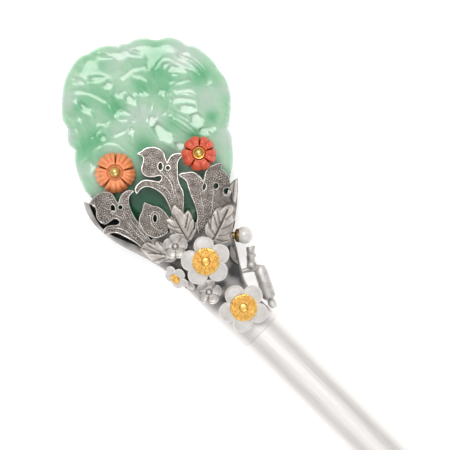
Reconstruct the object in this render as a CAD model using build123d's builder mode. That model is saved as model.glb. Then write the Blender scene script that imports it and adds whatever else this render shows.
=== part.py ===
from build123d import *
from math import cos, radians, sin
import os

# Hairpin in millimetres. +X runs along the shaft to its tip and +Z is up, towards the viewer.
# The origin is on the shaft's axis, where the bare shaft leaves the ferrule of the head.
os.makedirs("parts", exist_ok=True)

# Shaft: a plain tube, closed and rounded at its tip
SHAFT_R = 4.95
SHAFT_WALL = 0.8
STRAIGHT_LENGTH = 80.0
TAPER_END = 108.0
TAPER_R = 3.7
SHAFT_LENGTH = 115.0

# Ferrule and spigot of the cup, which plug into the shaft
FERRULE_R = 5.12
SPIGOT_R = 4.1
SPIGOT_BORE_R = 3.3
SPIGOT_LENGTH = 6.0
FIT_GAP = 0.05

# Cup: a cast silver funnel. The head is drawn on a sheet turned 45 degrees from the shaft,
# with u to the right and v up, measured from the point where the neck starts to bend.
NECK_X = -15.0
HEAD_TURN = 45.0
FIELD_DEPTH = 0.35
WALL = 1.2
LEAF_RISE = 0.25
RIM = 0.5
CURVE_STEPS = 4
CROWN = 0.42
MIN_FLAT = 2.0
BACK_CORNER = 4.0
CUT_HEIGHT = 12.0
HEAD_MID_Z = 1.48

# One row for each section of the funnel, from the ferrule to the mouth:
# left edge u and v, right edge u and v, half of the depth, height of the middle
FUNNEL = (
    (1.2, -8.7, 8.7, -1.2, 5.3, 0.0),
    (-3.9, -3.5, 7.0, 1.0, 5.4, 0.28),
    (-8.5, 1.2, 5.9, 4.5, 5.8, 0.68),
    (-14.5, 5.4, 5.0, 8.8, 6.1, 0.98),
    (-23.4, 10.3, 4.0, 12.5, 6.4, 1.28),
    (-28.6, 15.3, 4.8, 16.5, 6.6, HEAD_MID_Z),
    (-30.4, 21.0, 5.2, 21.0, 6.6, HEAD_MID_Z),
    (-31.5, 32.5, 5.0, 32.5, 5.6, HEAD_MID_Z),
)

# Outlines: u and v of each point, and "tip" where the outline has a sharp corner
TIP = "tip"
LEFT_SCROLL = (
    (-28.4, 18.7, TIP), (-27.0, 20.3), (-25.5, 21.2), (-23.5, 21.0), (-22.1, 19.2),
    (-21.7, 18.6, TIP), (-20.6, 21.0), (-19.5, 21.6), (-18.3, 21.4, TIP), (-19.4, 20.3),
    (-19.3, 18.0), (-17.8, 15.0), (-16.0, 12.5), (-13.8, 9.6, TIP), (-16.8, 9.1, TIP),
    (-19.0, 10.7), (-21.8, 12.1), (-25.1, 11.6, TIP), (-24.5, 13.3), (-22.3, 13.8),
    (-21.4, 14.5, TIP), (-22.3, 15.4), (-23.5, 15.0), (-24.8, 14.2), (-26.2, 15.0),
    (-26.7, 16.5), (-27.4, 18.4),
)
MIDDLE_SCROLL = (
    (-17.4, 30.0, TIP), (-15.7, 31.1), (-13.3, 31.3), (-11.6, 30.0), (-10.8, 27.8, TIP),
    (-9.8, 29.5), (-8.6, 30.0), (-7.7, 29.7, TIP), (-8.4, 28.4), (-8.4, 25.0),
    (-7.5, 21.9), (-7.1, 18.0), (-7.2, 12.8, TIP), (-8.6, 12.8, TIP), (-9.2, 15.6), (-10.3, 18.6),
    (-11.6, 20.7), (-13.5, 22.1), (-15.5, 22.6), (-17.0, 21.8), (-17.7, 20.9, TIP),
    (-17.2, 23.0), (-15.0, 23.9), (-12.6, 23.6), (-12.0, 24.3, TIP), (-12.6, 25.0),
    (-14.5, 24.8), (-16.2, 25.6), (-16.4, 27.3), (-16.2, 29.2),
)
RIGHT_SCROLL = (
    (-8.1, 25.2, TIP), (-6.5, 25.6), (-4.8, 25.7), (-3.4, 24.7), (-2.6, 23.2, TIP),
    (-2.1, 25.3), (-0.6, 27.2), (1.7, 27.8, TIP), (1.5, 26.4), (3.0, 24.8),
    (3.5, 23.0, TIP), (7.5, 26.0, TIP), (7.5, 12.0, TIP), (-3.6, 12.0, TIP), (-4.0, 14.5),
    (-3.9, 16.6), (-5.0, 20.2), (-6.0, 23.0), (-6.9, 24.5),
)
BUD = (
    (-15.8, 19.0, TIP), (-13.8, 18.1), (-11.6, 17.1), (-10.4, 15.2, TIP), (-10.6, 12.0, TIP),
    (-13.0, 10.8), (-15.8, 12.2), (-17.0, 14.8), (-16.3, 17.2),
)
INNER_LEAF = (
    (-9.0, 18.6, TIP), (-10.0, 16.8), (-10.0, 15.4), (-11.0, 15.1, TIP), (-10.7, 13.4),
    (-9.0, 11.9), (-6.3, 9.8, TIP), (-4.4, 12.0), (-4.2, 13.3, TIP), (-4.9, 13.0),
    (-5.1, 15.4), (-6.0, 17.3, TIP), (-6.9, 16.5), (-8.2, 17.7),
)
RIGHT_LEAF = (
    (-1.5, 14.9, TIP), (-2.3, 12.8), (-0.5, 10.2, TIP), (3.0, 9.6, TIP), (4.2, 13.0),
    (4.7, 14.8), (4.1, 16.5), (3.9, 18.5, TIP), (2.2, 18.1), (1.2, 17.2, TIP),
    (0.7, 17.9, TIP), (-0.6, 16.3), (-0.9, 13.4, TIP),
)
LEFT_LEAF = (
    (-16.6, 8.4, TIP), (-14.8, 9.7), (-12.5, 10.0), (-10.0, 8.6, TIP), (-9.2, 6.6, TIP),
    (-11.2, 6.1), (-13.6, 6.4), (-15.4, 7.4),
)
# Closed lower part of the funnel, from its left rim round to its right rim
ROOT = (
    (-32.5, 20.2, TIP), (-28.6, 18.6, TIP), (-27.2, 15.5), (-25.2, 12.7), (-22.5, 11.1, TIP),
    (-17.0, 8.9, TIP), (-12.0, 12.0, TIP), (-6.0, 12.4, TIP), (-3.6, 13.5, TIP),
    (7.0, 13.0, TIP), (14.0, -3.0, TIP), (1.0, -14.0, TIP), (-12.0, -8.0, TIP), (-32.0, 6.0, TIP),
)
# Drop-shaped and round piercings of the scrolls: u, v, half width, half height
PIERCINGS = (
    (-23.0, 17.6, 0.45, 0.8),
    (-21.2, 17.7, 0.45, 0.45),
    (-12.3, 27.1, 0.5, 0.85),
    (-10.4, 26.6, 0.42, 0.42),
    (-2.4, 22.3, 0.35, 0.7),
    (0.2, 22.7, 0.6, 0.65),
    (2.7, 21.6, 0.75, 0.8),
    (-13.5, 15.3, 0.45, 0.9),
)

# Jade: a slab with a lobed outline and softly rounded edges
JADE_HALF = 3.9
JADE_CENTRE = (-14.5, 36.0)
JADE_OUTLINE = (
    (-35.2, 40.5, TIP), (-34.9, 45.5), (-33.2, 49.8), (-31.0, 52.4), (-29.2, 53.1, TIP),
    (-26.5, 54.9), (-22.3, 54.9, TIP), (-19.0, 56.4), (-13.5, 56.5), (-9.5, 57.0),
    (-6.2, 55.0, TIP), (-2.6, 53.6), (0.8, 49.9), (3.0, 46.0), (3.7, 41.0),
    (3.0, 36.3, TIP), (4.1, 32.5), (4.1, 27.5), (2.7, 23.5), (1.6, 18.5),
    (-3.0, 14.6), (-12.0, 14.0), (-21.0, 15.0), (-26.4, 18.2), (-29.9, 21.8, TIP),
    (-31.2, 25.0), (-32.2, 31.0, TIP), (-33.8, 34.0), (-33.9, 36.2, TIP),
)
# Sections of the slab: height from its middle as a share of its half thickness, size
JADE_EDGE = ((-1.0, 0.89), (-0.72, 0.965), (0.0, 1.0), (0.72, 0.965), (1.0, 0.89))
# Carved forms on both faces: u, v, half length, half width, turn, rise
JADE_RELIEF_SINK = 0.6
CARVING_TOP = 0.62
JADE_CARVING = (
    (-27.0, 45.0, 3.6, 2.0, 35, 0.8),
    (-19.0, 46.5, 4.0, 2.4, -20, 0.9),
    (-10.5, 50.0, 4.0, 2.2, 10, 0.9),
    (-4.5, 44.8, 3.8, 2.3, -35, 0.8),
    (-11.5, 41.0, 4.4, 2.7, 60, 1.0),
    (-4.2, 37.0, 3.6, 2.2, 80, 0.8),
    (-26.5, 36.5, 3.8, 2.0, 60, 0.8),
    (-19.0, 37.5, 3.6, 2.2, -10, 0.8),
)

# Blossoms of five domed petals round a core, each under a gilt stamen disc with a pin
PETALS = 5
PETAL_R = 2.3
PETAL_REACH = 4.1
PETAL_RISE = 1.5
PETAL_PLATE = 0.6
CORE_R = 3.0
BOSS_R = 1.1
STAMEN_R = 3.1
STAMEN_THICKNESS = 0.7
STAMEN_LIFT = 1.5
STAMEN_DOME_R = 1.0
STAMEN_GRAINS = 14
STAMEN_GRAIN_R = 0.4
STAMEN_GRAIN_RING = 2.6
PIN_R = 0.5
PIN_GAP = 0.06
PIN_DEPTH = 0.8
SEAT_GAP = 0.1
# u, v, height of the underside, height of the boss below it, first petal's direction
UPPER_BLOSSOM = (-2.0, 5.7, 8.9, 1.9, 98.0)
LOWER_BLOSSOM = (6.5, -4.8, 5.85, 0.6, 54.0)
SIDE_BLOSSOM = (-8.5, 2.2, 5.2)
SIDE_SIZE = 0.56
SIDE_TILT = 50.0
SIDE_BOSS = 0.65

# Small cast silver flowers: u, v, height of the underside, height of the boss, first petal
CAST_PETAL_R = 1.2
CAST_REACH = 1.65
CAST_HEIGHT = 0.8
CAST_DISH_R = 1.3
# share of the dish radius that its middle lies above the petals
CAST_DISH_LIFT = 0.6
CAST_BEAD_R = 0.5
UPPER_SILVER_FLOWER = (-8.9, 9.0, 8.0, 0.5, 90.0)
LOWER_SILVER_FLOWER = (-1.3, -1.3, 6.5, 0.5, 88.0)

# Coral flowers in front of the jade: u, v, height of the underside, size, first groove
CORAL_THICKNESS = 2.0
CORAL_PETAL_R = 2.35
CORAL_REACH = 2.3
CORAL_EDGE = 0.6
CORAL_GROOVE = 0.35
CORAL_GROOVE_DEPTH = 0.9
CORAL_WELL_R = 2.0
CORAL_WELL_DEPTH = 0.4
GOLD_R = 1.3
# Shares of the gold head's radius: flat under the dome, height of the rim, radius and depth of the
# dish in it, radius and height of the button in the dish
GOLD_FLAT = 0.3
GOLD_RIM_HEIGHT = 0.75
GOLD_DISH_R = 0.75
GOLD_DISH_DEPTH = 0.8
GOLD_BUTTON_R = 0.68
GOLD_BUTTON_LIFT = 0.2
JADE_PIN_DEPTH = 1.2
ORANGE_CORAL = (-22.6, 25.8, 5.55, 0.97, 88.0)
RED_CORAL = (-3.6, 30.1, 7.75, 0.84, 86.0)

# Pearl at the right side of the cup, on a cap with a peg: u, v, height
PEARL_R = 2.05
PEARL = (6.75, 11.5, 1.9)
PEARL_CAP_U = 4.6
PEARL_CAP_R = 1.3
PEARL_CAP_LENGTH = 0.9
PEG_R = 0.45
PEG_LENGTH = 1.0

# Sprig beside the neck, one row for each ring of the stem: u, v, radius
SPRIG_Z = 0.3
SPRIG_STEM = (
    (13.55, -4.95, 0.8), (13.2, -4.2, 1.0), (12.75, -3.3, 0.75), (12.4, -2.5, 1.45),
    (11.5, 0.7, 1.6), (10.6, 3.7, 1.3), (10.4, 4.5, 0.8),
)
SPRIG_SHOOT = ((8.6, 3.9, 1.1), (8.35, 6.1, 0.85), (8.45, 6.9, 1.1), (8.2, 7.9, 0.9), (8.1, 8.9, 0.8))
SPRIG_TWIG = ((6.3, 3.3, 0.5), (10.6, 4.0, 0.6))

# Ferrule and pins
FERRULE_START = -9.0
BORE_LENGTH = 22.0

UPWARD = (Align.CENTER, Align.CENTER, Align.MIN)


def head(u, v, z=0.0):
    """Point of the head's drawing sheet, in the frame of the hairpin."""
    turn = radians(HEAD_TURN)
    along = u * cos(turn) - v * sin(turn)
    across = u * sin(turn) + v * cos(turn)
    return Vector(NECK_X + along, across, z)


def head_plane(u, v, z, turn=0.0, facing=1):
    """Plane that faces the viewer, or away with facing -1, its x axis turned from the u axis."""
    angle = radians(HEAD_TURN + turn)
    return Plane(origin=head(u, v, z), x_dir=(cos(angle), sin(angle), 0), z_dir=(0, 0, facing))


def draw_outline(rows, size=1.0, centre=(0.0, 0.0)):
    """Lines of a closed outline: one smooth curve from each sharp corner to the next."""
    corners = [i for i, row in enumerate(rows) if len(row) > 2]
    scaled = [tuple(c + size * (p - c) for p, c in zip(row[:2], centre)) for row in rows]
    for start, end in zip(corners, corners[1:] + [corners[0] + len(rows)]):
        run = [scaled[i % len(rows)] for i in range(start, end + 1)]
        if len(run) > 2:
            Spline(*run)
        else:
            Line(*run)


def sunk_outlines(rows):
    """Outline moved inwards by the rim's width: for each closed wire, the points of its curves."""
    with BuildSketch() as field:
        with BuildLine():
            draw_outline(rows)
        make_face()
        offset(amount=-RIM, mode=Mode.REPLACE)
    steps = [step / CURVE_STEPS for step in range(CURVE_STEPS + 1)]
    return [[[edge @ step for step in steps] for edge in wire.order_edges()] for wire in field.sketch.wires()]


def funnel(grow, first=0):
    """Solid inside of the funnel's surface, grown outwards by the given amount."""
    with BuildPart() as body:
        for left_u, left_v, right_u, right_v, depth, middle in FUNNEL[first:]:
            left = head(left_u, left_v, middle)
            right = head(right_u, right_v, middle)
            across = left - right
            half = across.length / 2
            front_flat = max(MIN_FLAT, half - depth)
            back_flat = max(MIN_FLAT, half - BACK_CORNER)
            side = half + grow
            top = depth + grow
            plane = Plane(origin=(left + right) / 2, x_dir=across, z_dir=across.cross(Vector(0, 0, 1)))
            with BuildSketch(plane):
                with BuildLine():
                    ThreePointArc((-front_flat, top - CROWN), (0, top), (front_flat, top - CROWN))
                    ThreePointArc((front_flat, top - CROWN), (side, 0), (back_flat, -top))
                    Line((back_flat, -top), (-back_flat, -top))
                    ThreePointArc((-back_flat, -top), (-side, 0), (-front_flat, top - CROWN))
                make_face()
        loft()
    return body.part


def prism(outlines):
    """Cutter through the whole head, with the union of some outlines as its section."""
    with BuildPart() as body:
        with BuildSketch(head_plane(0, 0, -CUT_HEIGHT)):
            for rows in outlines:
                with BuildLine():
                    draw_outline(rows)
                make_face()
        extrude(amount=3 * CUT_HEIGHT)
    return body.part


def blossom_plane(blossom):
    """Plane of a blossom's underside, facing the viewer."""
    u, v, z = blossom[:3]
    return head_plane(u, v, z, blossom[-1])


def place(part, plane):
    """A part drawn about the origin, moved onto a plane."""
    return plane.location * part


def blossom_part(size, boss):
    """Domed petals joined by a core, with a boss below it and a hole for the pin."""
    with BuildPart() as blossom:
        Cylinder(CORE_R * size, PETAL_PLATE * size, align=UPWARD)
        with PolarLocations(PETAL_REACH * size, PETALS):
            add(petal_dome(PETAL_R * size, PETAL_PLATE * size, PETAL_RISE * size))
        with Locations((0, 0, STAMEN_LIFT * size)):
            Cylinder((STAMEN_R + SEAT_GAP) * size, PETAL_RISE, align=UPWARD, mode=Mode.SUBTRACT)
        with Locations((0, 0, -boss)):
            Cylinder(BOSS_R * size, boss + PETAL_PLATE * size / 2, align=UPWARD)
        with Locations((0, 0, -boss)):
            Cylinder(PIN_R * size + PIN_GAP, boss + PETAL_RISE, align=UPWARD, mode=Mode.SUBTRACT)
    return blossom.part


def petal_dome(radius, plate, rise):
    """One petal: a round plate with a spherical dome."""
    ball = (radius**2 + rise**2) / (2 * rise)
    with BuildPart() as petal:
        Cylinder(radius, plate, align=UPWARD)
        with Locations((0, 0, plate + rise - ball)):
            Sphere(ball)
        Cylinder(radius, plate + rise, align=UPWARD, mode=Mode.INTERSECT)
    return petal.part


def stamen_part(size, boss):
    """Gilt disc with a central dome, a ring of grains and the pin below."""
    with BuildPart() as disc:
        with Locations((0, 0, STAMEN_LIFT * size + SEAT_GAP)):
            Cylinder(STAMEN_R * size, STAMEN_THICKNESS * size, align=UPWARD)
        top = (STAMEN_LIFT + STAMEN_THICKNESS) * size + SEAT_GAP
        with Locations((0, 0, top)):
            Sphere(STAMEN_DOME_R * size)
        with Locations((0, 0, top)):
            with PolarLocations(STAMEN_GRAIN_RING * size, STAMEN_GRAINS):
                Sphere(STAMEN_GRAIN_R * size)
        with Locations((0, 0, -boss - PIN_DEPTH)):
            Cylinder(PIN_R * size, boss + PIN_DEPTH + top - STAMEN_THICKNESS * size / 2, align=UPWARD)
    return disc.part


def carved_form(plane, half_length, half_width, rise):
    """Low oval hump of the jade's carving, from inside the slab to above its face."""
    with BuildPart() as form:
        with BuildSketch(plane):
            Ellipse(half_length, half_width)
        with BuildSketch(plane.offset(JADE_RELIEF_SINK + rise / 2)):
            Ellipse(half_length * CARVING_TOP, half_width * CARVING_TOP)
        loft()
    return form.part


def ring_stack(rows, height):
    """Solid through the parallel round sections of a stem."""
    centres = [head(u, v, height) for u, v, radius in rows]
    with BuildPart() as stem:
        for centre, (u, v, radius) in zip(centres, rows):
            with BuildSketch(Plane(origin=centre, z_dir=centres[-1] - centres[0])):
                Circle(radius)
        loft(ruled=True)
    return stem.part


def cast_flower_part(boss):
    """Small cast flower: dished petals, a bead in the middle and a boss and peg below."""
    with BuildPart() as flower:
        with BuildSketch():
            Circle(CAST_REACH)
            with PolarLocations(CAST_REACH, PETALS):
                Circle(CAST_PETAL_R)
        extrude(amount=CAST_HEIGHT)
        with Locations((0, 0, CAST_HEIGHT + CAST_DISH_R * CAST_DISH_LIFT)):
            with PolarLocations(CAST_REACH, PETALS):
                Sphere(CAST_DISH_R, mode=Mode.SUBTRACT)
        with Locations((0, 0, -boss)):
            Cylinder(BOSS_R, boss, align=UPWARD)
        with Locations((0, 0, -boss - PIN_DEPTH)):
            Cylinder(PIN_R, boss + PIN_DEPTH, align=UPWARD)
        with Locations((0, 0, CAST_HEIGHT)):
            Sphere(CAST_BEAD_R)
    return flower.part


def coral_part(size):
    """Coral flower: five rounded petals parted by grooves, with a well and a hole for the rivet."""
    with BuildPart() as flower:
        with BuildSketch():
            Circle(CORAL_REACH * size)
            with PolarLocations(CORAL_REACH * size, PETALS, start_angle=180 / PETALS):
                Circle(CORAL_PETAL_R * size)
        extrude(amount=CORAL_THICKNESS)
        fillet(flower.faces().sort_by(Axis.Z)[-1].edges(), CORAL_EDGE)
        with Locations((0, 0, CORAL_THICKNESS)):
            with PolarLocations((CORAL_WELL_R + CORAL_PETAL_R) * size, PETALS):
                Box(2 * CORAL_PETAL_R * size, CORAL_GROOVE, 2 * CORAL_GROOVE_DEPTH, mode=Mode.SUBTRACT)
            Cylinder(CORAL_WELL_R * size, 2 * CORAL_WELL_DEPTH, mode=Mode.SUBTRACT)
        Cylinder(PIN_R + PIN_GAP, 2 * CORAL_THICKNESS, mode=Mode.SUBTRACT)
    return flower.part


def gold_part(size, reach, rim):
    """Gold rivet: a domed head, with or without a rim, and a pin that reaches into the jade."""
    base = CORAL_THICKNESS - CORAL_WELL_DEPTH + SEAT_GAP
    with BuildPart() as rivet:
        with Locations((0, 0, base)):
            Cylinder(GOLD_R * size, GOLD_R * GOLD_FLAT, align=UPWARD)
            Sphere(GOLD_R * size, arc_size1=0, align=UPWARD)
        if rim:
            with Locations((0, 0, base)):
                Cylinder(GOLD_R * size, GOLD_R * GOLD_RIM_HEIGHT, align=UPWARD)
            with Locations((0, 0, base + GOLD_R * GOLD_RIM_HEIGHT)):
                Cylinder(GOLD_R * size * GOLD_DISH_R, GOLD_R * GOLD_DISH_DEPTH, mode=Mode.SUBTRACT)
            with Locations((0, 0, base + GOLD_R * GOLD_BUTTON_LIFT)):
                Sphere(GOLD_R * size * GOLD_BUTTON_R, arc_size1=0, align=UPWARD)
        with Locations((0, 0, -reach)):
            Cylinder(PIN_R, reach + base, align=UPWARD)
    return rivet.part


def cone_profile(wall):
    """Half profile of the shaft, inset by a wall."""
    outer_r = SHAFT_R - wall
    taper_r = TAPER_R - wall
    end = SHAFT_LENGTH - 2 * wall
    Line((0, 0), (0, outer_r))
    Line((0, outer_r), (STRAIGHT_LENGTH, outer_r))
    Line((STRAIGHT_LENGTH, outer_r), (TAPER_END, taper_r))
    EllipticalCenterArc((TAPER_END, 0), end - TAPER_END, taper_r, start_angle=0, arc_size=90)
    Line((end, 0), (0, 0))


with BuildPart() as shaft:
    with BuildSketch(Plane.XY):
        with BuildLine():
            cone_profile(0.0)
        make_face()
    revolve(axis=Axis.X)
    with BuildSketch(Plane.XY):
        with BuildLine():
            cone_profile(SHAFT_WALL)
        make_face()
    revolve(axis=Axis.X, mode=Mode.SUBTRACT)
shaft.part.label = "shaft"
export_step(shaft.part, "parts/shaft.step")

upper_plane = blossom_plane(UPPER_BLOSSOM)
lower_plane = blossom_plane(LOWER_BLOSSOM)
tilt = radians(SIDE_TILT)
side_plane = Plane(origin=head(*SIDE_BLOSSOM), x_dir=(1, 0, 0), z_dir=(0, -sin(tilt), cos(tilt)))
upper_silver_plane = blossom_plane(UPPER_SILVER_FLOWER)
lower_silver_plane = blossom_plane(LOWER_SILVER_FLOWER)
CUP_PINS = (
    (upper_silver_plane, UPPER_SILVER_FLOWER[3], PIN_R),
    (lower_silver_plane, LOWER_SILVER_FLOWER[3], PIN_R),
    (upper_plane, UPPER_BLOSSOM[3], PIN_R),
    (lower_plane, LOWER_BLOSSOM[3], PIN_R),
    (side_plane, SIDE_BOSS, PIN_R * SIDE_SIZE),
)
pearl_u, pearl_v, pearl_z = PEARL
PEG_PLANE = Plane(origin=head(PEARL_CAP_U, pearl_v, pearl_z), z_dir=head(1, 0) - head(0, 0))

# The cup: the funnel's wall where its outlines leave metal, with granulated fields sunk between
# raised rims, leaves one step above them, and the ferrule and spigot in line with the shaft
scrolls = (LEFT_SCROLL, MIDDLE_SCROLL, RIGHT_SCROLL, BUD)
leaves = (INNER_LEAF, RIGHT_LEAF, LEFT_LEAF)

with BuildPart() as sunk_fields:
    with BuildSketch(head_plane(0, 0, -CUT_HEIGHT)):
        for outline in scrolls:
            for curves in sunk_outlines(outline):
                with BuildLine():
                    for points in curves:
                        Spline(*points)
                make_face()
    extrude(amount=3 * CUT_HEIGHT)
    add(funnel(-FIELD_DEPTH), mode=Mode.SUBTRACT)

with BuildPart() as leaf_plates:
    add(funnel(LEAF_RISE))
    add(funnel(-WALL / 2), mode=Mode.SUBTRACT)
    add(prism(leaves), mode=Mode.INTERSECT)

with BuildPart() as piercings:
    for u, v, half_width, half_height in PIERCINGS:
        with BuildSketch(head_plane(u, v, 0)):
            Ellipse(half_width, half_height)
    extrude(amount=CUT_HEIGHT)

with BuildPart() as cup:
    add(funnel(0.0))
    add(prism(scrolls + (ROOT,)), mode=Mode.INTERSECT)
    add(sunk_fields.part, mode=Mode.SUBTRACT)
    add(leaf_plates.part)
    add(piercings.part, mode=Mode.SUBTRACT)
    add(funnel(-WALL, first=1), mode=Mode.SUBTRACT)
    # ferrule, spigot and the bore through both, in line with the shaft
    with BuildSketch(Plane.YZ.offset(FERRULE_START)):
        Circle(FERRULE_R)
    extrude(amount=-FERRULE_START - FIT_GAP)
    with BuildSketch(Plane.YZ.offset(FERRULE_START)):
        Circle(SPIGOT_R)
    extrude(amount=SPIGOT_LENGTH - FERRULE_START)
    with BuildSketch(Plane.YZ.offset(SPIGOT_LENGTH)):
        Circle(SPIGOT_BORE_R)
    extrude(amount=-BORE_LENGTH, mode=Mode.SUBTRACT)
    # holes for the pins of the flowers
    for plane, boss, pin_r in CUP_PINS:
        with BuildSketch(plane):
            Circle(pin_r + PIN_GAP)
        extrude(amount=-boss - PIN_DEPTH - PIN_GAP, mode=Mode.SUBTRACT)
    # hole for the pearl's peg, in the right edge of the wall
    with BuildSketch(PEG_PLANE):
        Circle(PEG_R + PIN_GAP)
    extrude(amount=-PEG_LENGTH, mode=Mode.SUBTRACT)
# the metal is one casting: a sliver that the cuts leave loose is not part of it
casting = cup.part.solids().sort_by(SortBy.VOLUME)[-1]
casting.label = "cup"
export_step(casting, "parts/cup.step")

# The jade slab, lofted through sections of its outline, with carved forms raised on both faces
with BuildPart() as jade_plaque:
    for level, size in JADE_EDGE:
        with BuildSketch(head_plane(0, 0, HEAD_MID_Z + level * JADE_HALF)):
            with BuildLine():
                draw_outline(JADE_OUTLINE, size, JADE_CENTRE)
            make_face()
    loft()
    for u, v, half_length, half_width, turn, rise in JADE_CARVING:
        for side in (1, -1):
            level = HEAD_MID_Z + side * (JADE_HALF - JADE_RELIEF_SINK)
            add(carved_form(head_plane(u, v, level, turn, side), half_length, half_width, rise))
    for flower in (ORANGE_CORAL, RED_CORAL):
        with BuildSketch(head_plane(flower[0], flower[1], HEAD_MID_Z + JADE_HALF + 1)):
            Circle(PIN_R + PIN_GAP)
        extrude(amount=-JADE_PIN_DEPTH - 1 - PIN_GAP, mode=Mode.SUBTRACT)
jade_plaque.part.label = "jade_plaque"
export_step(jade_plaque.part, "parts/jade_plaque.step")

for name, plane, size, boss in (
    ("upper", upper_plane, 1.0, UPPER_BLOSSOM[3]),
    ("lower", lower_plane, 1.0, LOWER_BLOSSOM[3]),
    ("side", side_plane, SIDE_SIZE, SIDE_BOSS),
):
    blossom = place(blossom_part(size, boss), plane)
    blossom.label = "plum_blossom_" + name
    export_step(blossom, "parts/" + blossom.label + ".step")
    stamens = place(stamen_part(size, boss), plane)
    stamens.label = "stamen_disc_" + name
    export_step(stamens, "parts/" + stamens.label + ".step")

for name, plane, boss in (
    ("upper", upper_silver_plane, UPPER_SILVER_FLOWER[3]),
    ("lower", lower_silver_plane, LOWER_SILVER_FLOWER[3]),
):
    flower = place(cast_flower_part(boss), plane)
    flower.label = "silver_flower_" + name
    export_step(flower, "parts/" + flower.label + ".step")

jade_front = HEAD_MID_Z + JADE_HALF
for name, row, rim in (("orange", ORANGE_CORAL, False), ("red", RED_CORAL, True)):
    plane = blossom_plane(row)
    flower = place(coral_part(row[3]), plane)
    flower.label = "coral_flower_" + name
    export_step(flower, "parts/" + flower.label + ".step")
    rivet = place(gold_part(row[3], row[2] - jade_front + JADE_PIN_DEPTH, rim), plane)
    rivet.label = "gold_centre_" + name
    export_step(rivet, "parts/" + rivet.label + ".step")

# The pearl, its cap and the peg that holds both in the cup's right wall
with BuildPart() as pearl_cap:
    with BuildSketch(PEG_PLANE):
        Circle(PEARL_CAP_R)
    extrude(amount=PEARL_CAP_LENGTH)
    with BuildSketch(PEG_PLANE.offset(-PEG_LENGTH + PIN_GAP)):
        Circle(PEG_R)
    extrude(amount=PEG_LENGTH)
    with Locations(head(*PEARL)):
        Sphere(PEARL_R + SEAT_GAP, mode=Mode.SUBTRACT)
pearl_cap.part.label = "pearl_cap"
export_step(pearl_cap.part, "parts/pearl_cap.step")

with BuildPart() as pearl:
    with Locations(head(*PEARL)):
        Sphere(PEARL_R)
pearl.part.label = "pearl"
export_step(pearl.part, "parts/pearl.step")

# The sprig: stem, upper shoot and the twig that meets the neck
with BuildPart() as bamboo_sprig:
    add(ring_stack(SPRIG_STEM, SPRIG_Z))
    add(ring_stack(SPRIG_SHOOT, SPRIG_Z))
    add(ring_stack(SPRIG_TWIG, SPRIG_Z))
bamboo_sprig.part.label = "bamboo_sprig"
export_step(bamboo_sprig.part, "parts/bamboo_sprig.step")
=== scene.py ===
import math
import random
import bmesh
import bpy
import numpy as np
from mathutils import Matrix, Vector
from mathutils.bvhtree import BVHTree


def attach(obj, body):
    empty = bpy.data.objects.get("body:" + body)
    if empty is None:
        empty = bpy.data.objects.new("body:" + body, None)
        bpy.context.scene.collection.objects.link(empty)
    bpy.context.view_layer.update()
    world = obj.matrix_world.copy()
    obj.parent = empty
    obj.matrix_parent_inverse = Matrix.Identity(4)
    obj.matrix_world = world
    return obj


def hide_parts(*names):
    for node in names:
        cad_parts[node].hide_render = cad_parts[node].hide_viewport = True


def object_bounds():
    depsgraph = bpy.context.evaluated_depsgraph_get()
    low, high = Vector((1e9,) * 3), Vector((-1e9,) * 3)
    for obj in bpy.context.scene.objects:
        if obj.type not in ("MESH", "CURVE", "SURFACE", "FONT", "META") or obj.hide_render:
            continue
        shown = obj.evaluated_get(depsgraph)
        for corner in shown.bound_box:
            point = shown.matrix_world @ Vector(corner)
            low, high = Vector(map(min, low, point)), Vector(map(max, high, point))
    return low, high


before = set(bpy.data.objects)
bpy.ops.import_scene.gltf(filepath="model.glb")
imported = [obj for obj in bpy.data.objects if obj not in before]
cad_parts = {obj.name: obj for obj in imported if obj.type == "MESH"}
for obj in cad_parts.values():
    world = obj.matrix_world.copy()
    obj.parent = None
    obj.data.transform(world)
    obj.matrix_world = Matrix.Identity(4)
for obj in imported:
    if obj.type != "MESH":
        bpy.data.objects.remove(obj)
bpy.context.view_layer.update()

# Shaft: a plain silver tube, drawn, closed at its tip and brushed to a satin along its length.
# It stays as the CAD solid and only gets its finish.


def new_finish(name, **settings):
    """A material and the parts of its node tree, with plain numbers set on the shader itself."""
    finish = bpy.data.materials.new(name)
    finish.use_nodes = True
    tree = finish.node_tree
    shader = tree.nodes["Principled BSDF"]
    for socket, value in settings.items():
        shader.inputs[socket.replace("_", " ")].default_value = value
    return finish, tree, shader


def join(tree, source, target):
    tree.links.new(source, target)


def linked(name, kind, tree, settings, sources):
    """A node with some plain settings by socket name and some sockets joined to sources."""
    node = tree.nodes.new(kind)
    node.name = name
    for socket, value in settings.items():
        node.inputs[socket].default_value = value
    for socket, source in sources.items():
        join(tree, source, node.inputs[socket])
    return node


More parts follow.
